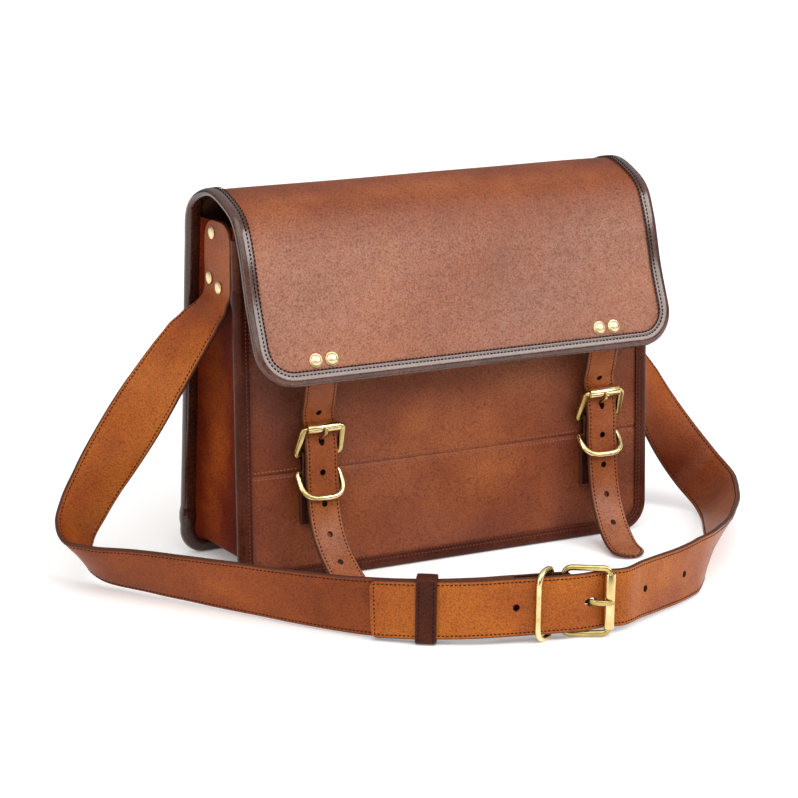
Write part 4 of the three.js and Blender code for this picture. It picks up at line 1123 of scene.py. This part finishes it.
def round_loop(corners):
    """Closed outline through corners of (u, v, radius)."""
    corners = np.array(corners, float)
    outline_points = []
    for i, (u, v, radius) in enumerate(corners):
        corner = np.array([u, v])
        before, after = corners[i - 1, :2], corners[(i + 1) % len(corners), :2]
        start = corner + unit(before - corner) * radius
        end = corner + unit(after - corner) * radius
        t = np.linspace(0, 1, 9)[:, None]
        outline_points.append((1 - t) ** 2 * start + 2 * t * (1 - t) * corner + t ** 2 * end)
    filled = []
    for i, arc in enumerate(outline_points):
        following = outline_points[(i + 1) % len(outline_points)][0]
        count = max(1, int(np.linalg.norm(following - arc[-1]) / LOOP_STEP))
        filled += [arc, np.linspace(arc[-1], following, count + 1)[1:-1]]
    return np.vstack(filled)


def add_ring(name, place, corners, start, end, section, material, body):
    """A closed ring laid in the plane from one bar to another; start and end are along and out."""
    start, end = np.array(start, float), np.array(end, float)
    reach = unit(end - start)
    flat = round_loop(corners)
    run = unit(np.roll(flat, -1, axis=0) - np.roll(flat, 1, axis=0))
    rings = []
    for (u, v), (run_u, run_v) in zip(flat, run):
        outline_points = section(u)
        in_plane, off_plane = outline_points[:, 0], outline_points[:, 1]
        here_u = u + in_plane * run_v
        here_v = v - in_plane * run_u
        along = start[0] + reach[0] * here_v - reach[1] * off_plane
        out = start[1] + reach[1] * here_v + reach[0] * off_plane
        rings.append(place(here_u, along, out))
    points, faces = loft(rings, closed=True)
    marks = {"tone": np.full(points.shape[0], 0.5), "rim": np.zeros(points.shape[0])}
    return make_piece(name, points, faces, material, body, marks=marks)


def round_wire(radius):
    turns = np.linspace(0, 2 * np.pi, 18, endpoint=False)
    return np.stack([radius * np.cos(turns), radius * np.sin(turns)], axis=1)


def flat_bar(in_plane, off_plane, sides=20, squareness=0.55):
    """Section of a flattened bar with soft corners."""
    turns = np.linspace(0, 2 * np.pi, sides, endpoint=False)
    c, s = np.cos(turns), np.sin(turns)
    return np.stack([in_plane * np.sign(c) * np.abs(c) ** squareness,
                     off_plane * np.sign(s) * np.abs(s) ** squareness], axis=1)


TURNED_SIDES = 44


def add_turned(name, centre, axis, profile, material, body, closed=False):
    """A round piece from a profile of radius and height along its axis."""
    axis = unit(np.array(axis, float))
    side = unit(np.cross(axis, (0.31, 0.17, 0.93) if abs(axis[2]) < 0.9 else (1, 0, 0)))
    other = np.cross(axis, side)
    turns = np.linspace(0, 2 * np.pi, TURNED_SIDES, endpoint=False)
    circle = np.cos(turns)[:, None] * side + np.sin(turns)[:, None] * other
    rings = [np.array(centre) + circle * radius + axis * height for radius, height in profile]
    points, faces = loft(rings, closed)
    return make_piece(name, points, faces, material, body, flat_angle=38)


def tube_profile(outer, inner, half):
    soft = 0.5
    return [(inner, -half), (outer - soft, -half), (outer - 0.15, -half + 0.15), (outer, -half + soft),
            (outer, half - soft), (outer - 0.15, half - 0.15), (outer - soft, half), (inner, half)]


def add_tongue(name, place, heel, bar_radius, thickness, width, arm, body):
    """A flat pin hooked round the heel bar; its arm is a run of out and along from the heel."""
    radius = bar_radius + 0.15 + thickness / 2
    turns = np.radians(np.arange(20, -246, -20))
    path = [(radius * math.cos(t), radius * math.sin(t)) for t in turns] + list(arm)
    route = bent_strip(place, [(heel[1] + out, heel[0] + along) for out, along in path])
    lengths = np.linspace(0, route.total, 60)
    rings = []
    for length in lengths:
        left = route.total - length
        taper = 1 - 0.45 * np.clip(1 - left / 9, 0, 1) ** 1.5 - 0.4 * np.clip(1 - left / 1.2, 0, 1) ** 2
        section = flat_bar(width / 2 * taper, thickness / 2 * taper, 16)
        rings.append(route.place(np.full(16, length), section[:, 0], section[:, 1]))
    points, faces = loft(rings)
    piece = make_piece(name, points, faces, DULL_BRASS, body)
    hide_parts(name.replace("_pin", ""))


def add_closure_buckle(closure):
    side = closure["side"]
    place = closure_place(closure)
    heel, roller = (0, 4.4), (18.5, 12.6)
    reach = math.dist(heel, roller)

    def frame_section(u):
        arm = np.clip((abs(u) - 12.2) / 1.5, 0, 1)
        return flat_bar(1.5 + 0.75 * arm, 1.5 + 0.4 * arm, squareness=0.75)

    corners = [(-16.3, 0, 2.8), (16.3, 0, 2.8), (14.5, reach, 2.8), (-14.5, reach, 2.8)]
    frame_piece = add_ring(f"buckle_frame_{side}_brass", place, corners, heel, roller, frame_section,
                           DULL_BRASS, "bag")
    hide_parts(f"buckle_frame_{side}")
    roller_piece = add_turned(f"buckle_roller_{side}_brass", place(0, *roller), place.axes[0],
                              tube_profile(3.35, 1.9, 12.0), BRIGHT_BRASS, f"roller_{side}",
                              closed=True)
    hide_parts(f"buckle_roller_{side}")
    arm = [(0.8, 4.6), (1.2, 7.2), (8.8, 12.4), (12.9, 16.6), (13.0, 19.4)]
    add_tongue(f"buckle_tongue_{side}_pin", place, heel, 1.5, 1.8, 3.2, arm, f"tongue_{side}")
    back_bar, front_bar = (-12, 4.0), (-closure["loop_drop"], closure["loop_out"] + 0.4)
    depth = math.dist(back_bar, front_bar)
    corners = [(-15.4, 0, 2.6), (15.4, 0, 2.6), (15.6, depth, 12), (-15.6, depth, 12)]
    loop = add_ring(f"closure_loop_{side}_brass", place, corners, back_bar, front_bar,
                    lambda _: round_wire(LOOP_WIRE), BRIGHT_BRASS, f"loop_{side}")
    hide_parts(f"closure_loop_{side}")


def rivet_profile(stack, head, shank, dome):
    burr = [(0.2, -1.4), (head * 0.6, -1.4), (head * 0.72, -1.1), (head * 0.72, -0.3)]
    post = [(shank, -0.3), (shank, stack), (head * 0.96, stack), (head, stack + 0.15), (head, stack + 0.5)]
    crown = [(head * 0.97, stack + 0.66), (head * 0.9, stack + 0.72)]
    for turn in np.radians(np.linspace(12, 88, 8)):
        crown.append((head * 0.88 * math.cos(turn), stack + 0.75 + dome * math.sin(turn)))
    return burr + post + crown


FLAP_RIVET_RISE = 15.5
FLAP_RIVET_SPACING = 11.7
TAB_RIVETS = [(57.5, 227.5), (61, 197), (47.5, 192.5)]


def add_rivets():
    for closure in CLOSURES:
        for i, step in enumerate((-0.5, 0.5)):
            x = closure["rivet_x"] + step * FLAP_RIVET_SPACING
            base = on_leather(x, LINE_LENGTH - FLAP_RIVET_RISE, -6.3)
            axis = on_leather(x, LINE_LENGTH - FLAP_RIVET_RISE, 0) - base
            node = f"flap_rivet_{closure['side']}_{i + 1}"
            piece = add_turned(f"{node}_brass", base, axis, rivet_profile(7.8, 4.6, 1.6, 2.0), RIVET_BRASS,
                               "flap")
            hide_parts(node)
    for name, side in (("left", -1), ("right", 1)):
        for i, (y, z) in enumerate(TAB_RIVETS):
            base = (side * (HALF_WIDTH - GUSSET_INSET - GUSSET_LEATHER), y, z)
            node = f"tab_rivet_{name}_{i + 1}"
            piece = add_turned(f"{node}_brass", base, (side, 0, 0), rivet_profile(5.4, 4.2, 1.5, 0.5),
                               RIVET_BRASS, "bag")
            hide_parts(node)


# ---- Shoulder strap ----------------------------------------------------------------------------
TAB_ROUND = 12.0


def shoulder_tab(side):
    """The riveted end of the strap, lying on the gusset from its rounded top down."""
    x = side * (HALF_WIDTH - GUSSET_INSET + GAP + SHOULDER_LEATHER / 2)
    return [(x, 50, 236, 0, 1, 0), (x, 50, 212, 0, 1, 0), (x, 50, 190, 0, 1, 0),
            (x + side * 2.6, 50.1, 182.5, -side * 0.02, 1, 0)]


def shoulder_dent(seed):
    def dent(length, u):
        near_tab = np.exp(-((length - 66) / 22) ** 2)
        creases = 0.35 * near_tab * np.sin(length / 2.3 + 0.9 * np.sin(u / 5) + seed)
        return creases + 0.22 * wander(length / 9, u / 7, seed) + 0.3 * wander(length / 38, u / 16, seed + 1)
    return dent


def add_shoulder_half(name, route, lengths, widths, tone, dent, painted_sheen, replaces, holes=()):
    piece = add_strap(f"{name}_leather", route, lengths, widths, SHOULDER_LEATHER, STRAP,
                      tone, dent, painted_sheen)
    cutters = []
    for at, radius, stretch in holes:
        point, along, _, face = (q[0] for q in route.at(at))
        cutters.append(make_cutter(point, face, radius, 12, HOLE, (along, stretch)))
    if cutters:
        apply_cut(piece, cutters)
    bend_with_strap(piece)
    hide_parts(*replaces)


def bend_with_strap(piece):
    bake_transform(piece)


def add_shoulder_strap():
    listed = shoulder_tab(-1) + SHOULDER_LEFT
    left = Route([p[:3] for p in listed], [p[3:] for p in listed])
    lengths = np.concatenate([TAB_ROUND * (1 - np.cos(np.radians([2, 20, 40, 60, 80]))),
                              np.linspace(TAB_ROUND, left.total, 330)])
    widths = end_width(SHOULDER_WIDTH, lengths, TAB_ROUND)
    dent = shoulder_dent(0.7)

    # Painted light and shade: the tab's top is painted dark in the shade of the flap, the run down the side
    # lighter where light falls on it, the fold below the tab, around 62 mm, darker, and the run across the
    # front darker as in shadow.
    def left_tone(length, u):
        base = np.interp(length, [0, 60, 140, 220, 260, 300, 420, 600],
                         [0.34, 0.66, 0.7, 0.62, 0.4, 0.34, 0.36, 0.32])
        return base + 0.12 * wander(length / 30, u / 10, 1.3) - 0.25 * np.exp(-((length - 62) / 14) ** 2)

    add_shoulder_half("shoulder_strap_left", left, lengths, widths, left_tone, dent, None,
                      ["shoulder_tab_left", "shoulder_strap_left"])
    rows = strap_rows(left, 60, left.total, SHOULDER_WIDTH, SHOULDER_LEATHER, dent=dent)
    bend_with_strap(add_stitches("shoulder_strap_left_stitches", rows, STRAP_THREAD, None,
                                 1.9, 0.4))

    tail = [(*in_shoulder_buckle(along, out), 0, 0, 1) for along, out in TAIL_IN_BUCKLE]
    tail += [(*p, 0, 0, 1) for p in TAIL_BEYOND]
    listed = shoulder_tab(1) + SHOULDER_RIGHT + tail
    right = Route([p[:3] for p in listed], [p[3:] for p in listed])
    radius = 4.0
    start = TAB_ROUND * (1 - np.cos(np.radians([2, 20, 40, 60, 80])))
    lengths = np.concatenate([start, station_lengths(TAB_ROUND, right.total, 2.0, radius)])
    widths = np.minimum(end_width(SHOULDER_WIDTH, lengths, TAB_ROUND),
                        end_width(SHOULDER_WIDTH, right.total - lengths, radius))
    slot_at = right.nearest(in_shoulder_buckle(15.6, 4.8))
    holes = [(slot_at + 49 * step, 2.3, 1.0) for step in (-2, -1, 1)] + [(slot_at, 2.5, 1.85)]
    dent = shoulder_dent(2.9)

    # Painted sheen on the front run, from about 230 to 450 mm along.
    def right_painted_sheen(length, u):
        return np.interp(length, [230, 300, 420, 450], [0, 0.34, 0.3, 0])

    # The dip to 0.15 around 215 mm, low on the run down the side, is painted shade; the other stops set the
    # tone along the strap.
    def right_tone(length, u):
        places = [0, 70, 120, 170, 215, 300, 420, right.total - 110, right.total - 60, right.total]
        base = np.interp(length, places, [0.6, 0.75, 0.7, 0.35, 0.15, 0.55, 0.6, 0.72, 0.82, 0.64])
        return base + 0.12 * wander(length / 30, u / 10, 2.3)

    add_shoulder_half("shoulder_strap_right", right, lengths, widths, right_tone, dent, right_painted_sheen,
                      ["shoulder_tab_right", "shoulder_strap_right"], holes)
    rows = strap_rows(right, 60, right.total, SHOULDER_WIDTH, SHOULDER_LEATHER, radius, dent=dent)
    bend_with_strap(add_stitches("shoulder_strap_right_stitches", rows, STRAP_THREAD, None,
                                 1.9, 0.4))


def add_shoulder_buckle():
    place = shoulder_place
    heel, roller = (0, 0), (28, 7.2)
    reach = math.dist(heel, roller)

    def frame_section(u):
        arm = np.clip((abs(u) - 18.6) / 1.5, 0, 1)
        return flat_bar(1.9, 1.9 - 0.2 * arm, squareness=0.8)

    corners = [(-21.8, 0, 5.5), (21.8, 0, 5.5), (21.2, reach, 4.6), (-21.2, reach, 4.6)]
    frame_piece = add_ring("shoulder_buckle_frame_brass", place, corners, heel, roller, frame_section,
                           DULL_BRASS, "strap")
    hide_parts("shoulder_buckle_frame")
    roller_piece = add_turned("shoulder_buckle_roller_brass", place(0, *roller), (0, 0, 1),
                              tube_profile(3.5, 2.2, 18), BRIGHT_BRASS, "strap_roller", closed=True)
    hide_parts("shoulder_buckle_roller")
    arm = [(0.8, 6), (2.4, 12.4), (8.8, 18.4), (12.4, 25.6), (12.5, 30)]
    add_tongue("shoulder_buckle_tongue_pin", place, heel, 1.9, 2.2, 3.5, arm, "strap_tongue")
    corners = [(-22.2, 0, 4.5), (22.2, 0, 4.5), (22.2, 15.8, 9.5), (-22.2, 15.8, 9.5)]
    loop = add_ring("shoulder_loop_brass", place, corners, (-8.5, 0), (-20, 10.8),
                    lambda _: round_wire(LOOP_WIRE), BRIGHT_BRASS, "strap_loop")
    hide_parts("shoulder_loop")
    path = [(-3.2, -44), (-3.2, -30), (-3.2, -14), (-3.2, -4), (-2.3, 2.3), (0, 3.2), (2.3, 2.3), (3.2, -4),
            (3.2, -14), (3.2, -30), (3.2, -44)]
    route = bent_strip(place, path)
    lengths = np.linspace(0, route.total, 70)

    def tone(length, u):
        return 0.5 + 0.25 * wander(length / 8, u / 6, 0.8)

    piece = add_strap("shoulder_chape_leather", route, lengths, np.full(70, 36.0), 1.7, DARK,
                      tone)
    apply_cut(piece, [box_cutter(place, (-2.7, 2.7), (-4.9, 8), (-8, 8))])
    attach(piece, "strap")
    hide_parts("shoulder_chape")
    rows = []
    for out, face in ((4.1, 1), (-4.1, -1)):
        edge = np.vstack([place(-15.5, np.linspace(-22, -41.5, 16), out),
                          place(np.linspace(-15.5, 15.5, 20), -41.5, out),
                          place(15.5, np.linspace(-41.5, -22, 16), out)])
        rows.append(row_on(edge, np.tile(place.axes[2] * face, (len(edge), 1))))
    add_stitches("shoulder_chape_stitches", rows, STRAP_THREAD, "strap", 1.9, 0.4)


def add_keeper():
    turn = math.radians(-34.5)
    place = Place((-106, -147, 22.2), (0, 0, 1), (math.sin(turn), -math.cos(turn), 0),
                  (-math.cos(turn), -math.sin(turn), 0))
    corners = [(-20.9, 0, 3), (20.9, 0, 3), (20.9, 12.2, 3), (-20.9, 12.2, 3)]

    def section(_):
        return flat_bar(0.85, 6.6, 24, 0.42)

    piece = add_ring("strap_keeper_leather", place, corners, (-6.1, 0), (6.1, 0), section, DARK, "keeper")
    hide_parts("strap_keeper")
    rows = []
    for off in (-4.6, 4.6):
        across = np.linspace(-19.5, 19.5, 24)
        for along, face in ((7.0, 1), (-7.0, -1)):
            rows.append(row_on(place(across, along, off), np.tile(place.axes[1] * face, (24, 1))))
    add_stitches("strap_keeper_stitches", rows, DARK_THREAD, "keeper", 1.9, 0.34)


# ---- Build -------------------------------------------------------------------------------------
add_camera()
add_stage()
add_back_and_flap()
add_front()
add_bindings()
add_gusset()
for closure_parts in CLOSURES:
    add_closure_strap(closure_parts)
    add_closure_chape(closure_parts)
    add_closure_buckle(closure_parts)
add_rivets()
add_shoulder_strap()
add_shoulder_buckle()
add_keeper()
